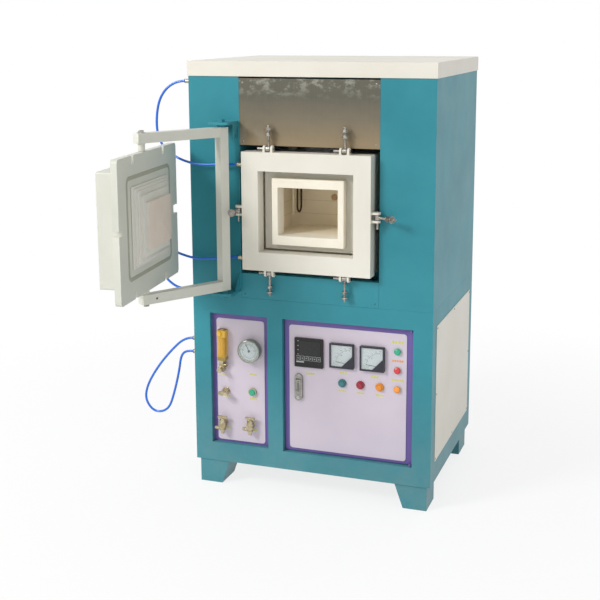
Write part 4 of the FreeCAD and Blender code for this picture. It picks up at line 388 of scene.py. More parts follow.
# each carried node under its finish, with the width of its broken edges
dressing = {
    "tealPaint": {"base_cabinet": 0.0022, "upper_cabinet": 0.0022, "lower_front_plate": 0.0015, "feet": 0.0018,
        "vessel_rails": 0.0012, "hinge_brackets": 0.001},
    "creamPaint": {"top_cover": 0.0028, "cover_panels": 0.0012, "furnace_vessel": 0.0012},
    "stainless": {"steel_front_plate": 0.0012},
    "boltSteel": {"bolt_pins": 0.0006, "door_pivot_pins": 0.0006, "top_left_bolt": 0.0005,
        "top_right_bolt": 0.0005, "low_left_bolt": 0.0005, "low_right_bolt": 0.0005, "left_bolt": 0.0005,
        "right_bolt": 0.0005, "flowmeter_float": 0.0004},
    "fibreBoard": {"mouth_fibre_frame": 0.0016},
    "collarBoard": {"chamber_collar": 0.0018},
    "chamberBoard": {"fibre_lining": 0.0014, "hearth_plate": 0.001},
    "elementCrust": {"heating_elements": 0.0005},
    "sheathCeramic": {"thermocouple": 0.0004},
    "doorPaint": {"swing_yoke": 0.0022, "door_plate": 0.0014, "door_casing": 0.0022},
    "gasketRubber": {"door_gasket": 0.0012},
    "plugBoard": {"door_plug": 0.0025},
    "purplePaint": {"gas_panel": 0.0008, "control_door": 0.0008},
    "plateGrey": {"gas_faceplate": 0.0005, "control_faceplate": 0.0005},
    "nickelBrass": {"flowmeter_knob": 0.0006, "needle_valve_knob": 0.0006, "inlet_valve_handle": 0.0006,
        "outlet_valve_handle": 0.0006, "gas_valves": 0.0006, "hose_fittings": 0.0005},
    "needleInk": {"gauge_needle": 0.0002, "current_needle": 0.0002, "voltage_needle": 0.0002},
    "blackCase": {"temperature_controller": 0.0012},
    "meterCase": {"panel_meters": 0.001},
    "lockSteel": {"lock_body": 0.0008, "lock_handle": 0.0008, "lock_button": 0.0006},
    "unitGrey": {"power_unit": 0.0012},
}


def dress(name, finish, width):
    threshold = math.radians(34)
    source = nodes[name]
    mesh = source.data.copy()
    mesh.name = name + "_dressed"
    shape = bmesh.new()
    shape.from_mesh(mesh)
    bmesh.ops.remove_doubles(shape, verts=shape.verts, dist=0.000004)
    bmesh.ops.dissolve_limit(shape, angle_limit=math.radians(0.4), use_dissolve_boundaries=False,
                             verts=shape.verts, edges=shape.edges, delimit={"NORMAL"})
    for face in shape.faces:
        face.smooth = True
        face.material_index = 0
    shape.to_mesh(mesh)
    shape.free()
    mesh.materials.clear()
    mesh.materials.append(finishes[finish])
    mesh.set_sharp_from_angle(angle=threshold)
    piece = bpy.data.objects.new(name + "_dressed", mesh)
    bevel = piece.modifiers.new("edges", "BEVEL")
    bevel.width = width
    bevel.segments = 2
    bevel.limit_method = "ANGLE"
    bevel.angle_limit = threshold
    bevel.harden_normals = True
    enrol(piece, source["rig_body"], (name,))


for finish, widths in dressing.items():
    for name, width in widths.items():
        dress(name, finish, width)
print("nodes dressed")


def spin(angle):
    return Matrix.Rotation(math.radians(angle), 4, "Z")


def pose(place, toward=(0, 0, 1), turn=0.0):  # for a flank: X along it, Y up, Z outward
    turned = Vector(toward).to_track_quat("Z", "Y").to_matrix().to_4x4()
    return Matrix.Translation(place) @ turned @ spin(turn)


def front(x, z, y):
    return pose((x, y, z), (0, -1, 0))


def shift(x, y, z):
    return Matrix.Translation((x, y, z))


def about(middle, reach):
    return middle - reach, middle + reach


def disc(radius, low, high):  # profile of a plain cylinder
    return [(0, low), (radius, low), (radius, high), (0, high)]


def plate(width, height, corner, middle=(0, 0)):
    outline = []
    for turn, signs in enumerate(((1, 1), (-1, 1), (-1, -1), (1, -1))):
        centre = (middle[0] + signs[0] * (width / 2 - corner), middle[1] + signs[1] * (height / 2 - corner))
        for step in range(5):
            angle = math.radians(90 * turn + 22.5 * step)
            outline.append((centre[0] + corner * math.cos(angle), centre[1] + corner * math.sin(angle)))
    return outline


def hexagon(radius):
    return [(radius * math.cos(math.radians(60 * i)), radius * math.sin(math.radians(60 * i))) for i in range(6)]


class Maker:  # gathers shapes drawn in millimetres into one object, then starts the next
    def __init__(self):
        self.points = []
        self.faces = []
        self.marks = []
        self.looks = []

    def take(self, shape, look, move):
        first = len(self.points)
        shape.verts.index_update()
        self.points += [move @ vert.co for vert in shape.verts]
        self.faces += [[first + vert.index for vert in face.verts] for face in shape.faces]
        if look not in self.looks:
            self.looks.append(look)
        self.marks += [self.looks.index(look)] * len(shape.faces)
        shape.free()

    def box(self, look, x, y, z, edge=0.0, move=Matrix()):
        shape = bmesh.new()
        bmesh.ops.create_cube(shape, size=1)
        spans = (x, y, z)
        bmesh.ops.scale(shape, vec=[high - low for low, high in spans], verts=shape.verts)
        bmesh.ops.translate(shape, vec=[(low + high) / 2 for low, high in spans], verts=shape.verts)
        if edge:
            bmesh.ops.bevel(shape, geom=shape.edges[:], offset=edge, segments=2, profile=0.5, affect="EDGES")
        self.take(shape, look, move)

    def lathe(self, look, profile, move=Matrix(), steps=28):  # (radius, height) pairs
        shape = bmesh.new()
        chain = [shape.verts.new((radius, 0, height)) for radius, height in profile]
        line = [shape.edges.new(pair) for pair in zip(chain, chain[1:])]
        bmesh.ops.spin(shape, geom=chain + line, axis=(0, 0, 1), cent=(0, 0, 0), angle=math.tau, steps=steps,
                       use_merge=True)
        bmesh.ops.remove_doubles(shape, verts=shape.verts, dist=0.001)
        bmesh.ops.recalc_face_normals(shape, faces=shape.faces)
        self.take(shape, look, move)

    def prism(self, look, outline, low, high, move=Matrix(), edge=0.0):
        shape = bmesh.new()
        rings = [[shape.verts.new((x, y, level)) for x, y in outline] for level in (low, high)]
        shape.faces.new(rings[0][::-1])
        shape.faces.new(rings[1])
        for i in range(len(outline)):
            shape.faces.new((rings[0][i - 1], rings[0][i], rings[1][i], rings[1][i - 1]))
        if edge:
            rim = [e for e in shape.edges if all(vert in rings[1] for vert in e.verts)]
            bmesh.ops.bevel(shape, geom=rim, offset=edge, segments=2, profile=0.5, affect="EDGES")
        self.take(shape, look, move)

    def tube(self, look, path, radius, move=Matrix(), sides=8, ripple=0.0):
        shape = bmesh.new()
        path = [Vector(spot) for spot in path]
        rings = []
        aside = None
        for index, spot in enumerate(path):
            ahead = (path[min(index + 1, len(path) - 1)] - path[max(index - 1, 0)]).normalized()
            aside = ahead.orthogonal() if aside is None else (aside - ahead * aside.dot(ahead)).normalized()
            across = ahead.cross(aside)
            wide = radius * (1 + ripple * (1 if index % 2 else -1))
            angles = [math.tau * i / sides for i in range(sides)]
            circle = [spot + (aside * math.cos(a) + across * math.sin(a)) * wide for a in angles]
            rings.append([shape.verts.new(point) for point in circle])
        for first, second in zip(rings, rings[1:]):
            for i in range(sides):
                shape.faces.new((first[i - 1], first[i], second[i], second[i - 1]))
        shape.faces.new(rings[0])
        shape.faces.new(rings[-1])
        bmesh.ops.recalc_face_normals(shape, faces=shape.faces)
        self.take(shape, look, move)

    def bead(self, look, first, last, radius=1.7, move=Matrix()):  # a weld seam
        first, last = Vector(first), Vector(last)
        steps = max(3, round((last - first).length / 2.4))
        path = [first.lerp(last, step / steps) for step in range(steps + 1)]
        self.tube(look, path, radius, move, 8, 0.13)

    def screw(self, move, radius=3.4, look="boltSteel"):
        high = radius * 0.36
        head = [(0, 0), (radius, 0), (radius, high * 0.3), (radius * 0.86, high * 0.75), (radius * 0.5, high),
                (0, high)]
        self.lathe(look, head, move, 16)
        # the cross recess is a near-black cross of painted shade on the head, not cut in
        for wide, tall in ((1.1, 0.24), (0.24, 1.1)):
            self.box("darkHole", (-wide * radius / 2, wide * radius / 2), (-tall * radius / 2, tall * radius / 2),
                     (high - 0.2, high + 0.06), 0, move)

    def digits(self, look, words, size, move):
        curve = bpy.data.curves.new("digits", "FONT")
        curve.body = words
        curve.size = size
        curve.align_x = "CENTER"
        curve.align_y = "CENTER"
        curve.extrude = 0.03
        curve.resolution_u = 2
        holder = bpy.data.objects.new("digits", curve)
        mesh = bpy.data.meshes.new_from_object(holder)
        shape = bmesh.new()
        shape.from_mesh(mesh)
        self.take(shape, look, move)
        bpy.data.objects.remove(holder)
        bpy.data.curves.remove(curve)
        bpy.data.meshes.remove(mesh)

    def done(self, name, body, slot, replaced=(), sharp=34):
        mesh = bpy.data.meshes.new(name)
        mesh.from_pydata([point * 0.001 for point in self.points], [], self.faces)
        for look in self.looks:
            mesh.materials.append(finishes[look])
        mesh.polygons.foreach_set("material_index", self.marks)
        mesh.polygons.foreach_set("use_smooth", [True] * len(self.faces))
        mesh.update()
        mesh.set_sharp_from_angle(angle=math.radians(sharp))
        enrol(bpy.data.objects.new(name, mesh), body, replaced)
        self.__init__()


maker = Maker()
box, lathe, prism, tube, bead = maker.box, maker.lathe, maker.prism, maker.tube, maker.bead
screw, digits, done = maker.screw, maker.digits, maker.done


# threads of the six swing bolts: pivot, direction of the shank
boltThreads = {
    "bolts": {
        "top_left_bolt": ((-124, -326, 1133), (0, 0, 1)),
        "top_right_bolt": ((124, -326, 1133), (0, 0, 1)),
        "low_left_bolt": ((-124, -326, 738), (0, 0, -1)),
        "low_right_bolt": ((124, -326, 738), (0, 0, -1)),
        "left_bolt": ((-227, -326, 935.5), (0, -1, 0)),
        "right_bolt": ((227, -326, 935.5), (0.891, -0.454, 0)),
    },
    "runs": ((13, 39.6), (49, 57.8), (67, 72.6)),
    "pitch": 1.25,
    "crest": 4.28,
    "root": 3.8,
}


def addThreads(name, place, toward):
    pitch, crest, root = (boltThreads[key] for key in ("pitch", "crest", "root"))
    for low, high in boltThreads["runs"]:
        profile = [(0, low)]
        for turn in range(int((high - low) / pitch)):
            level = low + turn * pitch
            profile += [(root, level), (crest, level + pitch * 0.45)]
        profile += [(root, high), (0, high)]
        lathe("boltSteel", profile, pose(place, toward), 20)
    done(name + "_threads", name, "bright_steel", sharp=50)


for name, (place, toward) in boltThreads["bolts"].items():
    addThreads(name, place, toward)
print("bolts threaded")


# covers: screws on the side, back and front plates, and the seam under the lid
coverTrim = {
    "sideY": (-247, 3.5, 254),
    "sideZ": (156, 370, 584),
    "backX": (-332, 0, 332),
    "backZ": ((128, 365, 602), (698, 1000, 1302)),
    "plateScrews": ((-216, 1335), (216, 1335), (-216, 1152), (216, 1152)),
    "lowScrews": ((-216, 660), (216, 660)),
}


def addCoverTrim():
    for toward, flank in (((1, 0, 0), 401.5), ((-1, 0, 0), -401.5)):
        for y in coverTrim["sideY"]:
            for z in coverTrim["sideZ"]:
                if (y, z) != (3.5, 370):
                    screw(pose((flank, y, z), toward), 3.6)
    for levels in coverTrim["backZ"]:
        for x in coverTrim["backX"]:
            for z in levels:
                if (x, z) != (0, levels[1]):
                    screw(pose((x, 309, z), (0, 1, 0)), 3.6)
    for look, spots in (("boltSteel", coverTrim["plateScrews"]), ("tealPaint", coverTrim["lowScrews"])):
        for x, z in spots:
            screw(front(x, z, -307.5), 3.2, look)
    # a dark grey band of painted shade fills the seam under the lid
    box("seamRubber", (-398, 398), (-306, 306), (1352.2, 1354), 0)
    done("cover_trim", "cabinet", "bright_steel")


addCoverTrim()
print("covers trimmed")


# weld seams of the bolt ears and the hinge brackets
earWelds = {
    "across": (-124, 124),
    "offsets": (-16, -9, 9, 16),
    "depth": (-336, -316),
    "levels": (1123, 748),
    "flanks": (-210, 210),
    "middle": 935.5,
    "wall": -307.8,
    "bracket": (-298, -234),
    "bracketLevels": (1208, 1216, 667, 675),
    "gussets": (-238, -232),
    "gussetRuns": ((1157, 1206), (677, 726)),
}


def addWelds():
    near, far = earWelds["depth"]
    for level in earWelds["levels"]:
        for x in earWelds["across"]:
            for offset in earWelds["offsets"]:
                bead("creamPaint", (x + offset, near, level), (x + offset, far, level), 1.5)
    for x in earWelds["flanks"]:
        for offset in earWelds["offsets"]:
            level = earWelds["middle"] + offset
            bead("creamPaint", (x, near, level), (x, far, level), 1.5)
    wall = earWelds["wall"]
    left, right = earWelds["bracket"]
    for level in earWelds["bracketLevels"]:
        bead("tealPaint", (left, wall, level), (right, wall, level), 1.6)
    for side in earWelds["gussets"]:
        for low, high in earWelds["gussetRuns"]:
            bead("tealPaint", (side, wall, low), (side, wall, high), 1.5)
    done("weld_seams", "cabinet", "white_paint", sharp=80)


addWelds()
print("seams welded")


# yoke: corner seams, end caps, bushes round the door's pivots, blind hole
yokeTrim = {"hinge": (-265, -363, 0), "turn": 238, "tube": 15, "corner": 15, "end": 303, "low": 683, "high": 1200,
            "pivot": 286, "bushes": ((1146.2, 1169.6, 1169.6), (713.4, 725, 713.4)), "hole": (257, 698)}


def addYokeTrim():
    move = Matrix.Translation(yokeTrim["hinge"]) @ spin(yokeTrim["turn"])
    half, corner, bottom, top = (yokeTrim[key] for key in ("tube", "corner", "low", "high"))
    for low, high, inner in ((bottom, bottom + 2 * half, bottom + 2 * half), (top - 2 * half, top, top - 2 * half)):
        for y in (-half, half):
            bead("doorPaint", (corner, y, low + 1), (corner, y, high - 1), 1.6, move)
        bead("doorPaint", (corner, -half + 1, inner), (corner, half - 1, inner), 2.0, move)
        cap = move @ pose((yokeTrim["end"], 0, (low + high) / 2), (1, 0, 0))
        prism("doorPaint", plate(31, 31, 3.2), -2.2, 1.6, cap, 0.7)
    for low, high, seat in yokeTrim["bushes"]:
        spot = move @ shift(yokeTrim["pivot"], 0, 0)
        lathe("doorPaint", disc(10.6, low, high), spot, 32)
        lip = 1.6 if seat == low else -1.6
        lathe("doorPaint", [(0, seat), (13, seat), (12.2, seat + lip), (0, seat + lip)], spot, 32)
    for level, sign in ((top, 1), (bottom, -1)):
        spot = move @ pose((yokeTrim["pivot"], 0, level), (0, 0, sign))
        lathe("boltSteel", disc(12.5, 0, 1.2), spot, 32)
        prism("darkSteel", hexagon(9.6), 1.2, 7.4, spot, 0.8)
    x, z = yokeTrim["hole"]
    # the blind hole is a near-black disc of painted shade
    lathe("darkHole", disc(3.4, -6, 0.05), move @ pose((x, half, z), (0, 1, 0)), 20)
    done("yoke_trim", "yoke", "white_paint", sharp=50)


addYokeTrim()
print("yoke trimmed")


# door, drawn in the frame of its pivot: X along the plate, Y towards the vessel
doorTrim = {"pivot": (-416.557, -605.542, 0), "turn": -83.9, "middle": -20.888, "centre": 935.5, "casing": (410, 340),
            "outer": -8, "inner": 12, "nose": (179.4, 139.4)}


def addDoorTrim():
    move = Matrix.Translation(doorTrim["pivot"]) @ spin(doorTrim["turn"])
    middle, centre, outer = (doorTrim[key] for key in ("middle", "centre", "outer"))
    wide, tall = doorTrim["casing"]
    left, right, low, high = middle - wide / 2, middle + wide / 2, centre - tall / 2, centre + tall / 2
    for first, last in (((left, low), (right, low)), ((left, high), (right, high)), ((left, low), (left, high)),
                        ((right, low), (right, high))):
        bead("doorPaint", (first[0], outer, first[1]), (last[0], outer, last[1]), 1.8, move)
    for x in (left + 16, right - 16):
        for z in (low + 16, high - 16):
            screw(move @ pose((x, -68, z), (0, -1, 0)), 4.2)
    face = move @ pose((middle, doorTrim["inner"], centre), (0, 1, 0))
    prism("plugBoard", plate(268, 228, 6), 4, 9.5, face, 2)
    prism("plugBoard", plate(214, 184, 6), 13, 23, face, 2.4)
    prism("plugPink", plate(doorTrim["nose"][0], doorTrim["nose"][1], 5), 33, 34.4, face, 0.6)
    done("door_trim", "door", "white_paint", sharp=40)


addDoorTrim()
print("door trimmed")


# chamber: rings where the elements hang through the roof, plug of the rear port
chamberTrim = {"legs": ((-91.5, -153), (-91.5, -115), (91.5, -153), (91.5, -115)), "probe": (-93, -190), "roof": 1030,
               "port": (18, 955), "back": -100, "joints": (898, 942, 986), "walls": (-130, 130)}


def addChamberTrim():
    ring = [(4.2, 0), (9.5, 0), (10.5, 0.8), (10.5, 2.2), (4.2, 2.2), (4.2, 0)]
    for x, y in chamberTrim["legs"] + (chamberTrim["probe"],):
        spot = pose((x, y, chamberTrim["roof"] + 0.6), (0, 0, -1))
        lathe("collarBoard", ring, spot, 28)
    x, z = chamberTrim["port"]
    port = [(0, -14), (10.4, -14), (10.4, -1.6), (9.6, -0.8), (3, -0.4), (0, -0.4)]
    lathe("plugTan", port, front(x, z, chamberTrim["back"]), 32)
    for level in chamberTrim["joints"]:
        box("jointLine", (-129.4, 129.4), (-100.25, -99.9), about(level, 0.35))
        for x in chamberTrim["walls"]:
            box("jointLine", about(x, 0.2), (-258, -101), about(level, 0.35))
    done("chamber_trim", "cabinet", "collar_cream", sharp=40)


addChamberTrim()
print("chamber trimmed")


# fittings: collets on the hose tails, and the gland's ribs
fittingTrim = {
    "cabinet": ((-400, -288, 1336), (-400, -290, 657), (-400, -272, 486), (-400, -272, 440)),
    "flange": ((-210, -330, 1081), (-210, -330, 784)),
    "gland": (-330, 307.5, 100),
}


def addFittingTrim():
    body = [(0, 4), (7.4, 4), (7.4, 6), (6.9, 7), (6.9, 9), (7.4, 10), (7.4, 12.6), (6.9, 13.4), (7.3, 14.2),
            (7.3, 16.4), (6.6, 17.4), (0, 17.4)]
    collet = [(4.05, 17), (6, 17), (6, 18.6), (6.9, 19), (6.9, 20.4), (6.2, 21), (4.05, 21)]
    for spot in fittingTrim["cabinet"] + fittingTrim["flange"]:
        move = pose(spot, (-1, 0, 0))
        lathe("nickelBrass", body, move, 28)
        lathe("colletBlue", collet, move, 28)
        lathe("boltSteel", disc(11, -0.2, 0.8), move, 28)
    move = pose(fittingTrim["gland"], (0, 1, 0))
    for turn in range(12):
        rib = move @ Matrix.Rotation(math.tau * turn / 12, 4, "Z")
        box("blackCase", (9.4, 12.3), (-0.8, 0.8), (8, 15), 0.3, rib)
    done("fitting_trim", "cabinet", "brass_nickel", sharp=40)


addFittingTrim()
print("fittings trimmed")


# gas panel: flowmeter with a see-through front, its cap and its brass foot
flowmeter = {"left": -314, "right": -286, "low": 432, "high": 534, "face": -292.5, "foot": 390, "bore": 5.1}


def addFlowmeter():
    left, right, low, high = (flowmeter[key] for key in ("left", "right", "low", "high"))
    face = flowmeter["face"]
    middle = (left + right) / 2
    box("amberTube", (left + 1, right - 1), (face - 9, face), (low + 1, high - 1), 0.8)
    box("amberGlass", (left + 0.3, right - 0.3), (face - 26, face - 9), (low, high - 2.6), 1.4)
    box("oliveCap", (left, right), (face - 26.6, face), (low - 1, low + 11), 1.2)
    across = middle - flowmeter["bore"] - 1.2, middle + flowmeter["bore"] + 1.2
    top = high - 24, high
    box("capYellow", (left, across[0]), (face - 27, face), top, 1.2)
    box("capYellow", (across[1], right + 0.4), (face - 27, face), top, 1.2)
    box("capYellow", (left + 1, right - 1), (face - 27.2, face - 21.4), top, 1.6)
    box("capYellow", (left + 1, right - 1), (face - 8.6, face), top, 0.6)
    box("capYellow", (left + 1, right - 1), (face - 26, face), (high - 2.2, high), 0.8)
    knob = [(0, 0), (8.6, 0), (9.6, 1), (9.6, 7), (8.4, 8.4), (4, 9), (0, 9)]
    lathe("capYellow", knob, pose((middle - 4, face - 22, high - 11), (-0.4, -1, 0)), 24)
    for tick in range(15):
        level = low + 16 + tick * 4.2
        reach = 8 if tick % 5 == 0 else 4.5
        box("dialInk", (right - 2.5 - reach, right - 2.5), (face - 26.15, face - 25.9),
            about(level, 0.25))
    bore, wall = flowmeter["bore"], flowmeter["bore"] + 0.7
    spot = Matrix.Translation((middle, face - 15, 0))
    sleeve = [(bore, low + 11), (wall, low + 11), (wall, high - 2), (bore, high - 2), (bore, low + 11)]
    lathe("amberGlass", sleeve, spot, 28)
    for x in (left + 5.5, right - 5.5):
        screw(front(x, low + 5, face - 26.6), 2.2)
    foot = (left + 2, right - 10)
    box("nickelBrass", foot, (face - 20, face), (flowmeter["foot"], low), 1.4)
    across = (foot[0] + foot[1]) / 2
    prism("nickelBrass", hexagon(10.4), 0, 8, pose((across, face - 11, low - 9), (0, 0, 1)), 0.8)
    inlet = [(0, 0), (7, 0), (7, 5), (5.6, 6), (5.6, 10), (0, 10)]
    lathe("nickelBrass", inlet, pose((foot[1] - 1, face - 11, 414), (1, 0, 0)))
    prism("nickelBrass", hexagon(11.4), -0.2, 2.2, front(across, 401, face - 20), 0.5)
    done("flowmeter_dressed", "cabinet", "clear_acrylic", ("flowmeter_body",))


addFlowmeter()
print("flowmeter made")


# pressure gauge: stepped case, dial with its scale, glass
gauge = {"middle": (-204, 471), "face": -292.5, "zero": 225, "sweep": 270, "marks": 50}


def addGauge():
    x, z = gauge["middle"]
    move = front(x, z, gauge["face"])
    case = [(0, 0), (35.5, 0), (35.5, 2), (37, 3.2), (37, 17), (38.4, 18), (38.4, 19.4), (39, 20), (39, 25),
            (38, 26.8), (36, 27.8), (35.2, 27.6), (34.6, 26.2), (34.6, 20.6), (0, 20.6)]
    lathe("gaugeCase", case, move, 64)
    lathe("bezelRing", [(30.2, 20.8), (34.6, 20.8), (34.6, 26.4), (33.4, 26.2), (30.2, 21.6)], move, 64)
    lathe("dialPaper", disc(30.6, 20.7, 21.02), move, 48)
    lathe("dialTint", [(21.5, 21.02), (24, 21.02), (24, 21.06), (21.5, 21.06)], move, 64)
    for mark in range(gauge["marks"] + 1):
        angle = gauge["zero"] - gauge["sweep"] * mark / gauge["marks"]
        spoke = move @ spin(angle)
        inner, wide = (24.2, 0.45) if mark % 10 == 0 else (26.4, 0.22) if mark % 5 == 0 else (27.6, 0.14)
        box("dialInk", (inner, 29.4), (-wide, wide), (21.02, 21.1), 0, spoke)
    for step in range(6):
        angle = math.radians(gauge["zero"] - gauge["sweep"] * step / 5)
        spot = move @ Matrix.Translation((18.6 * math.cos(angle), 18.6 * math.sin(angle), 21.05))
        digits("dialInk", ("0", "0.2", "0.4", "0.6", "0.8", "1")[step], 5.2, spot)
    lathe("darkSteel", [(0, 21), (3.4, 21), (3.4, 23.6), (2.6, 24.2), (0, 24.2)], move, 24)
    lathe("clearPane", [(0, 26.9), (20, 26.6), (34.6, 25.8), (34.6, 25.2), (0, 26.3)], move, 48)
    for turn in range(3):
        tab = move @ spin(30 + 120 * turn)
        screw(tab @ shift(37, 0, 26.9), 1.3)
    lathe("nickelBrass", [(0, -16.5), (9.5, -16.5), (9.5, -6), (10.6, -6), (10.6, 0.4), (0, 0.4)], move, 28)
    done("gauge_dressed", "cabinet", "bright_steel", ("gauge_case",))


addGauge()
print("gauge made")


# gas valves: hexagons, packing nuts and barbs over the plain bodies
valveTrim = {"needle": (-295, 322), "balls": ((-302, 210), (-204, 216)), "face": -292.5, "stand": 20}


def addValveTrim():
    face = valveTrim["face"]
    x, z = valveTrim["needle"]
    body = [(0, 6), (10, 6), (10, 9), (9.2, 10), (9.2, 14), (10, 15), (10, 18), (8.4, 20), (8.4, 21.6), (0, 21.6)]
    lathe("nickelBrass", body, front(x, z, face), 32)
    prism("nickelBrass", hexagon(14), 0, 5.6, front(x, z, face), 0.9)
    for x, z in valveTrim["balls"]:
        y = face - valveTrim["stand"]
        prism("nickelBrass", hexagon(12.4), -9, 9, pose((x, y, z), (0, 0, 1), 30), 0.9)
        prism("nickelBrass", hexagon(8.6), 16.4, 21.6, pose((x, y, z), (0, 0, 1), 15), 0.7)
        prism("nickelBrass", hexagon(8.4), 17.6, 23, pose((x, y, z), (0, 0, -1), 15), 0.7)
        lathe("nickelBrass", [(0, 0.2), (11, 0.2), (11, 3.4), (10, 4.4), (0, 4.4)], front(x, z, face), 28)
        barbs = [(0, 9)]
        for ridge in range(4):
            barbs += [(5.1, 10.4 + 4 * ridge), (6.1, 13.6 + 4 * ridge)]
        barbs += [(4.6, 26.2), (3, 26.4), (3, 20), (0, 20)]
        lathe("nickelBrass", barbs, pose((x, y, z - 12), (-1, 0, 0)), 24)
        # the barb's bore is a near-black disc of painted shade
        lathe("darkHole", disc(2.9, 24, 26.3), pose((x, y, z - 12), (-1, 0, 0)), 16)
        tail = [(0, 29), (5.6, 29), (5.2, 30.4), (3, 30.6), (3, 26), (0, 26)]
        lathe("nickelBrass", tail, pose((x, y, z), (0, 0, -1)), 24)
    done("valve_trim", "cabinet", "brass_nickel")


addValveTrim()
print("valves trimmed")


# label strips on the two faceplates: middle, width, height, tint
labels = {
    "face": -292.5,
    "gas": ((-199, 387, 26, 8), (-293, 304, 24, 8), (-199, 303, 27, 8), (-292, 194, 26, 8), (-197, 196, 24, 8),
            (-305, 377, 20, 7)),
    "control": ((-1, 410, 30, 9), (109.5, 423, 27, 9), (213, 421, 28, 9), (107, 364, 28, 8), (167, 363, 26, 8),
                (230, 362, 28, 8), (287, 540, 40, 11), (287, 480, 38, 8), (287, 417, 40, 9)),
    "warm": (480,),
}


def addLabels(kind, body):
    for x, z, wide, tall in labels[kind]:
        look = "labelOrange" if z in labels["warm"] else "labelYellow"
        move = front(x, z, labels["face"])
        count = max(3, round(wide / tall * 1.1))
        pitch = wide / count
        for index in range(count):
            centre = -wide / 2 + pitch * (index + 0.5)
            prism(look, plate(pitch * 0.8, tall * 0.8, 0.8, (centre, 0)), -0.1, 0.12, move)
    done(kind + "_labels", body, "faceplate_grey")


addLabels("gas", "cabinet")
addLabels("control", "control_leaf")
print("labels laid")


# control door: controller front with its window, keys and marks
controller = {"middle": (-4, 480), "face": -298.8, "keys": 6, "marks": (38, 22, 8, -6)}


def addController():
    x, z = controller["middle"]
    move = front(x, z, controller["face"])
    prism("screenGlass", plate(70, 46, 2, (4, 15)), 0, 0.7, move, 0.3)
    for level in controller["marks"]:
        prism("keyInk", plate(5, 1.6, 0.6, (-36, level)), 0, 0.35, move)
    for level, wide in ((26, 36), (7, 36)):
        prism("screenDim", plate(wide, 13, 1.2, (8, level)), 0.7, 0.8, move)
    for key in range(controller["keys"]):
        centre = -36 + key * 14
        prism("keyInk", plate(12.8, 15.6, 2.4, (centre, -18.5)), 0, 0.5, move)
        prism("keyRubber", plate(11.2, 14, 1.9, (centre, -18.5)), 0.2, 1.1, move, 0.5)
        mark = move @ shift(centre, -18.5, 0) @ spin(90 * key)
        prism("keyInk", [(-2.4, -1.6), (2.4, -1.6), (0, 2.4)], 1.0, 1.2, mark)
    prism("keyInk", plate(26.5, 4, 0.6, (-29, -31)), 0, 0.35, move)
    prism("screenDim", plate(12, 2.4, 0.6, (34, -36)), 0, 0.35, move)
    done("controller_front", "control_leaf", "black_plastic")


addController()
print("controller fronted")


# panel meters: paper, scale arc, numbers, pane and the corner's screw
meters = {"middles": (106.5, 206.5), "level": 481, "dial": -299, "front": -304, "pivot": (26, -26), "reach": 47,
          "from": 172, "sweep": 82, "marks": 25}


def addMeter(x, top, unit):
    z = meters["level"]
    move = front(x, z, meters["dial"])
    prism("dialPaper", plate(69.4, 69.4, 0.6), 0, 0.16, move)
    spot = move @ Matrix.Translation((*meters["pivot"], 0.16))
    reach = meters["reach"]
    for mark in range(meters["marks"] + 1):
        angle = meters["from"] - meters["sweep"] * mark / meters["marks"]
        spoke = spot @ spin(angle)
        inner, wide = (43, 0.4) if mark % 5 == 0 else (44.6, 0.2)
        box("dialInk", (inner, reach), (-wide, wide), (0, 0.08), 0, spoke)
        if mark < meters["marks"]:
            arc = spot @ spin(angle - meters["sweep"] / meters["marks"] / 2)
            box("dialInk", (reach - 0.5, reach), (-1.36, 1.36), (0, 0.07), 0, arc)
    for step in range(6):
        angle = math.radians(meters["from"] - meters["sweep"] * step / 5)
        place = spot @ Matrix.Translation((52 * math.cos(angle), 52 * math.sin(angle), 0))
        digits("dialInk", str(top * step // 5), 5, place)
    digits("dialInk", unit, 9, move @ shift(-2, 2, 0.18))
    for level, wide in ((-24, 24), (-28, 18)):
        box("dialInk", (-30, -30 + wide), about(level, 0.3), (0.16, 0.22), 0, move)
    pane = front(x, z, meters["front"])
    box("clearPane", (-34.8, 34.8), (-34.8, 34.8), (-1.1, -0.5), 0.2, pane)
    prism("meterCase", [(0.5, -35), (35, -35), (35, -0.5)], -0.6, 0.2, pane, 0.2)
    screw(pane @ shift(26, -26, 0.2), 2.6, "darkSteel")
    rim = ((-40, 40, 37.5, 40), (-40, 40, -40, -37.5), (-40, -37.5, -40, 40), (37.5, 40, -40, 40))
    for left, right, low, high in rim:
        box("meterCase", (left, right), (low, high), (-0.4, 0.6), 0.4, pane)
    done("meter_face_" + str(round(x)), "control_leaf", "meter_cream")


addMeter(meters["middles"][0], 100, "A")
addMeter(meters["middles"][1], 250, "V")
print("meters faced")


# lamps: ring, ribbed lens and barrel
lamps = {"across": 287, "face": -292.5, "levels": (("greenLens", 511), ("redLens", 450), ("orangeLens", 388.5))}


def addLamps():
    for look, level in lamps["levels"]:
        move = front(lamps["across"], level, lamps["face"])
        lathe("ringPale", [(0, 0), (13.5, 0), (13.5, 2), (12.6, 3), (10.9, 3), (10.9, 1), (0, 1)], move, 40)
        lens = [(0, 1), (10.8, 1), (10.8, 6.2), (10.2, 7.8), (8.6, 9.4), (6, 10.4), (3, 10.9), (0, 11)]
        lathe(look, lens, move, 40)
        for turn in range(20):
            rib = move @ Matrix.Rotation(math.tau * turn / 20, 4, "Z")
            box(look, (10.4, 11), (-0.5, 0.5), (3, 6.4), 0.2, rib)
        barrel = [(0, -40), (8.5, -40), (8.5, -30), (10.9, -30), (10.9, -12), (14, -12), (14, -7), (10.9, -7),
                  (10.9, 0)]
        lathe("blackCase", barrel, move, 32)
        for side in (-4.5, 4.5):
            screw(move @ pose((side, 0, -40), (0, 0, -1)), 2)
    done("lamps_dressed", "control_leaf", "lamp_lens", ("indicator_lamps",))


addLamps()
print("lamps made")


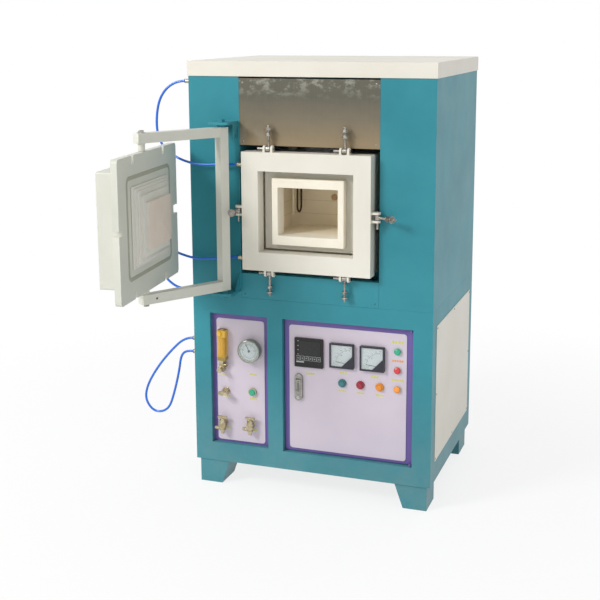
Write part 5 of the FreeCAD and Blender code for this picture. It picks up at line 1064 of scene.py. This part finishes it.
# push buttons: ring and contact block stay, the cap moves
buttons = {
    "green_button": (107, 390, "green_push", "buttonGreen", "green_cap"),
    "red_button": (167, 390, "red_push", "buttonRed", "red_cap"),
    "orange_button": (230, 390, "orange_push", "buttonOrange", "orange_cap"),
    "gas_button": (-200, 328, "gas_push", "greenLens", "green_cap"),
    "face": -292.5,
}


def addButton(name):
    x, z, body, look, slot = buttons[name]
    move = front(x, z, buttons["face"])
    profile = [(0, 1), (8.9, 1), (8.9, 9.6), (8.3, 10.6), (7.2, 11), (5.6, 10.7), (0, 10.2)]
    lathe(look, profile, move, 40)
    done(name + "_cap", body, slot, (name,))


def addMounts():
    for name in ("green_button", "red_button", "orange_button"):
        x, z = buttons[name][:2]
        move = front(x, z, buttons["face"])
        ring = [(9.25, 0), (13.5, 0), (13.5, 4.6), (12.2, 7), (11, 8), (9.6, 8), (9.25, 7.4), (9.25, 0)]
        lathe(buttons[name][3], ring, move, 40)
        collar = [(9.25, -12), (14, -12), (14, -7), (11, -7), (11, -0.2), (9.25, -0.2), (9.25, -12)]
        lathe("blackCase", collar, move, 32)
        prism("blackCase", plate(19, 19, 2), -40, -13, move, 0.6)
        for side in (-5, 5):
            screw(move @ pose((side, 0, -40), (0, 0, -1)), 2)
    done("button_mounts_dressed", "control_leaf", "bright_steel", ("button_mounts",))
    x, z = buttons["gas_button"][:2]
    profile = [(9.25, 6.4), (13.7, 5.4), (13, 7.4), (11, 8.2), (9.6, 8.2), (9.25, 7.4)]
    lathe("greenLens", profile, front(x, z, buttons["face"]), 40)
    done("gas_button_ring", "cabinet", "brass_nickel")


for name in ("green_button", "red_button", "orange_button", "gas_button"):
    addButton(name)
addMounts()
print("buttons made")


# plane lock: rim, the handle's grip and the button's key way
lock = {"across": -39.5, "front": -300.5, "low": 318, "high": 408, "button": 329}


def addLockTrim():
    middle = (lock["low"] + lock["high"]) / 2
    move = front(lock["across"], middle, lock["front"])
    rim = plate(25.6, 89.6, 12.7)
    path = [(x * 0.955, y * 0.988, 0) for x, y in rim]
    tube("lockSteel", path + [path[0]], 0.55, move, 8)
    done("lock_rim", "control_leaf", "bright_steel", sharp=60)
    handle = front(lock["across"], 0, lock["front"])
    prism("lockSteel", plate(11, 36, 5, (0, 364)), -0.4, 0.45, handle, 0.4)
    # the grip's groove is a flat darker inset of painted shade, not cut in
    prism("lockGroove", plate(7.4, 31, 3.6, (0, 364)), 0.4, 0.5, handle)
    # the hole in the grip is a near-black disc of painted shade
    lathe("darkHole", disc(2.6, 0, 0.1), front(lock["across"], 382, lock["front"]), 20)
    done("lock_grip", "lock_lever", "bright_steel")
    spot = front(lock["across"], lock["button"], lock["front"] + 1)
    lathe("ringPale", [(0, 2), (5.3, 2), (5.3, 2.6), (4.6, 3.2), (0, 3.2)], spot, 28)
    # the key way is a near-black slot of painted shade
    box("darkHole", (-0.5, 0.5), (-2.6, 2.6), (3.1, 3.24), 0, spot)
    done("lock_key", "lock_push", "black_plastic")


addLockTrim()
print("lock trimmed")


# inside the base: terminals, winding, fins and ducts on the plain unit
unit = {
    "board": 100, "left": -40, "right": 320, "high": 540, "core": (140, -60, 157),
    "devices": ((40, 112, 80, 70, True), (160, 240, 90, 90, False)),  # from, to, height, depth, red caps
}


def addUnitTrim():
    board, left, right = (unit[key] for key in ("board", "left", "right"))
    top = unit["high"] - 60
    for low, high, height, depth, capped in unit["devices"]:
        near = board - depth
        box("deviceBlack", (left + low - 1, left + high + 1), (near - 1.5, near + 8),
            (top - height * 0.72, top - height * 0.28), 1.2)
        for pole in range(3):
            x = left + low + (high - low) * (pole + 0.5) / 3
            for level, way in ((top - 7, 7), (top - height + 7, -7)):
                screw(front(x, level, near), 3.6)
                # the wire openings beside the terminals are near-black painted shade
                box("darkHole", about(x, 5), (near - 0.1, near + 4), (level + way - 1, level + way + 1))
            if capped:
                box("redCap", about(x, 4), (near - 9, near - 1), (top - 44, top - 30), 1)
    for fin in range(9):
        x = left + 272 + fin * 8.6
        box("deviceGrey", (x, x + 3), (board - 66, board - 59), (top - 128, top - 2), 0.5)
    box("deviceGrey", (left + 20, right - 10), (board - 7, board + 0.2), (top - 50, top - 32), 0.6)
    for level in (unit["high"] - 30, 300):
        box("deviceGrey", (left + 10, right - 10), (board - 34, board), about(level, 16), 1)
        for slot in range(26):
            x = left + 18 + slot * 12.6
            # the slots in the ducts are near-black painted shade
            box("darkHole", (x, x + 4), (board - 34.2, board - 33), about(level, 12))
    x, y, z = unit["core"]
    coil = [(42.4, 0), (44, 1.2), (44, 3.6), (42.4, 4.8)]
    for turn in range(24):
        near = y - 79 + turn * 6.6
        if not -56 < near - y + 2 < 52:
            lathe("copperWire", coil, pose((x, near, z), (0, 1, 0)), 48)
    bobbin = [(28.6, 0), (43.4, 0), (43.4, 1.6), (28.6, 1.6), (28.6, 0)]
    for end in (y - 80.6, y + 79):
        lathe("deviceBlack", bobbin, pose((x, end, z), (0, 1, 0)), 48)
    for corner in (-78, 78):
        for level in (93, 221):
            screw(front(x + corner, level, y - 55), 4)
    for seam in range(18):
        spot = y - 52 + seam * 6.1
        # the dark lines across the core are painted shade in the gaps
        box("darkHole", about(x, 90.15), about(spot, 0.15), (84, 232.1))
    done("unit_trim", "cabinet", "unit_grey")


addUnitTrim()
print("unit trimmed")


# floor, backdrop and lamps
studio = {
    "floorTone": (250, 250, 250), "grainTone": (238, 238, 238), "fade": (0.8, 2.1), "glow": 0.8, "world": 0.54,
    "lamps": {  # place, aim, size, power
        "keyLamp": ((-3.2, -4.2, 3.9), (0, 0, 0.8), 1.9, 205),
        "fillLamp": ((3.6, -3.4, 2.4), (0, 0, 0.7), 3.0, 14),
        "rimLamp": ((1.5, 3.8, 3.4), (0, 0, 0.9), 2.6, 24),
    },
}


def seenRays(graph):  # 1 for rays from the camera, a mirror or a pane, else 0
    kinds = ("Camera", "Glossy", "Transmission")
    rays = [graph.node("ShaderNodeLightPath", out="Is " + kind + " Ray") for kind in kinds]
    return graph.node("ShaderNodeMath", {"operation": "MINIMUM"}, {0: rays[0] + rays[1] + rays[2], 1: 1.0})


def addFloor():
    recipe = Recipe("paleFloor")
    colour = recipe.mix(recipe.noise(30, 3, 0.6) * 0.12, tone(*studio["floorTone"]), tone(*studio["grainTone"]))
    recipe.finish(colour=colour, rough=0.9)
    across, deep = recipe.axis("X"), recipe.axis("Y")
    away = recipe.node("ShaderNodeMath", {"operation": "SQRT"}, {0: across * across + deep * deep})
    share = seenRays(recipe) * recipe.between(away, *studio["fade"], studio["glow"], 1.0)
    white = recipe.node("ShaderNodeEmission", {}, {"Color": (1, 1, 1, 1), "Strength": 1.0})
    plain = Wire(recipe, recipe.shader.outputs[0])
    recipe.feed(recipe.last, {0: recipe.node("ShaderNodeMixShader", {}, {0: share, 1: plain, 2: white})})
    shape = bmesh.new()
    bmesh.ops.create_grid(shape, x_segments=1, y_segments=1, size=14)
    mesh = bpy.data.meshes.new("floor")
    shape.to_mesh(mesh)
    shape.free()
    mesh.materials.append(recipe.material)
    floor = bpy.data.objects.new("floor", mesh)
    bpy.context.scene.collection.objects.link(floor)


def addBackdrop():
    world = bpy.data.worlds.new("studio")
    world.use_nodes = True
    graph = Graph(world.node_tree)
    ambient = graph.node("ShaderNodeBackground", {}, {0: (1, 1, 1, 1), 1: studio["world"]})
    plain = graph.node("ShaderNodeBackground", {}, {0: (1, 1, 1, 1)})
    blended = graph.node("ShaderNodeMixShader", {}, {0: seenRays(graph), 1: ambient, 2: plain})
    graph.feed(graph.tree.nodes.new("ShaderNodeOutputWorld"), {0: blended})
    bpy.context.scene.world = world


def addLamp(name, place, aim, size, power):
    lamp = bpy.data.lights.new(name, "AREA")
    lamp.size = size
    lamp.energy = power
    lamp.shape = "DISK"
    holder = bpy.data.objects.new(name, lamp)
    holder.location = place
    holder.rotation_euler = (Vector(aim) - Vector(place)).to_track_quat("-Z", "Y").to_euler()
    bpy.context.scene.collection.objects.link(holder)


addFloor()
addBackdrop()
for name, values in studio["lamps"].items():
    addLamp(name, *values)
bpy.context.scene.view_settings.view_transform = "Standard"
print("studio set")
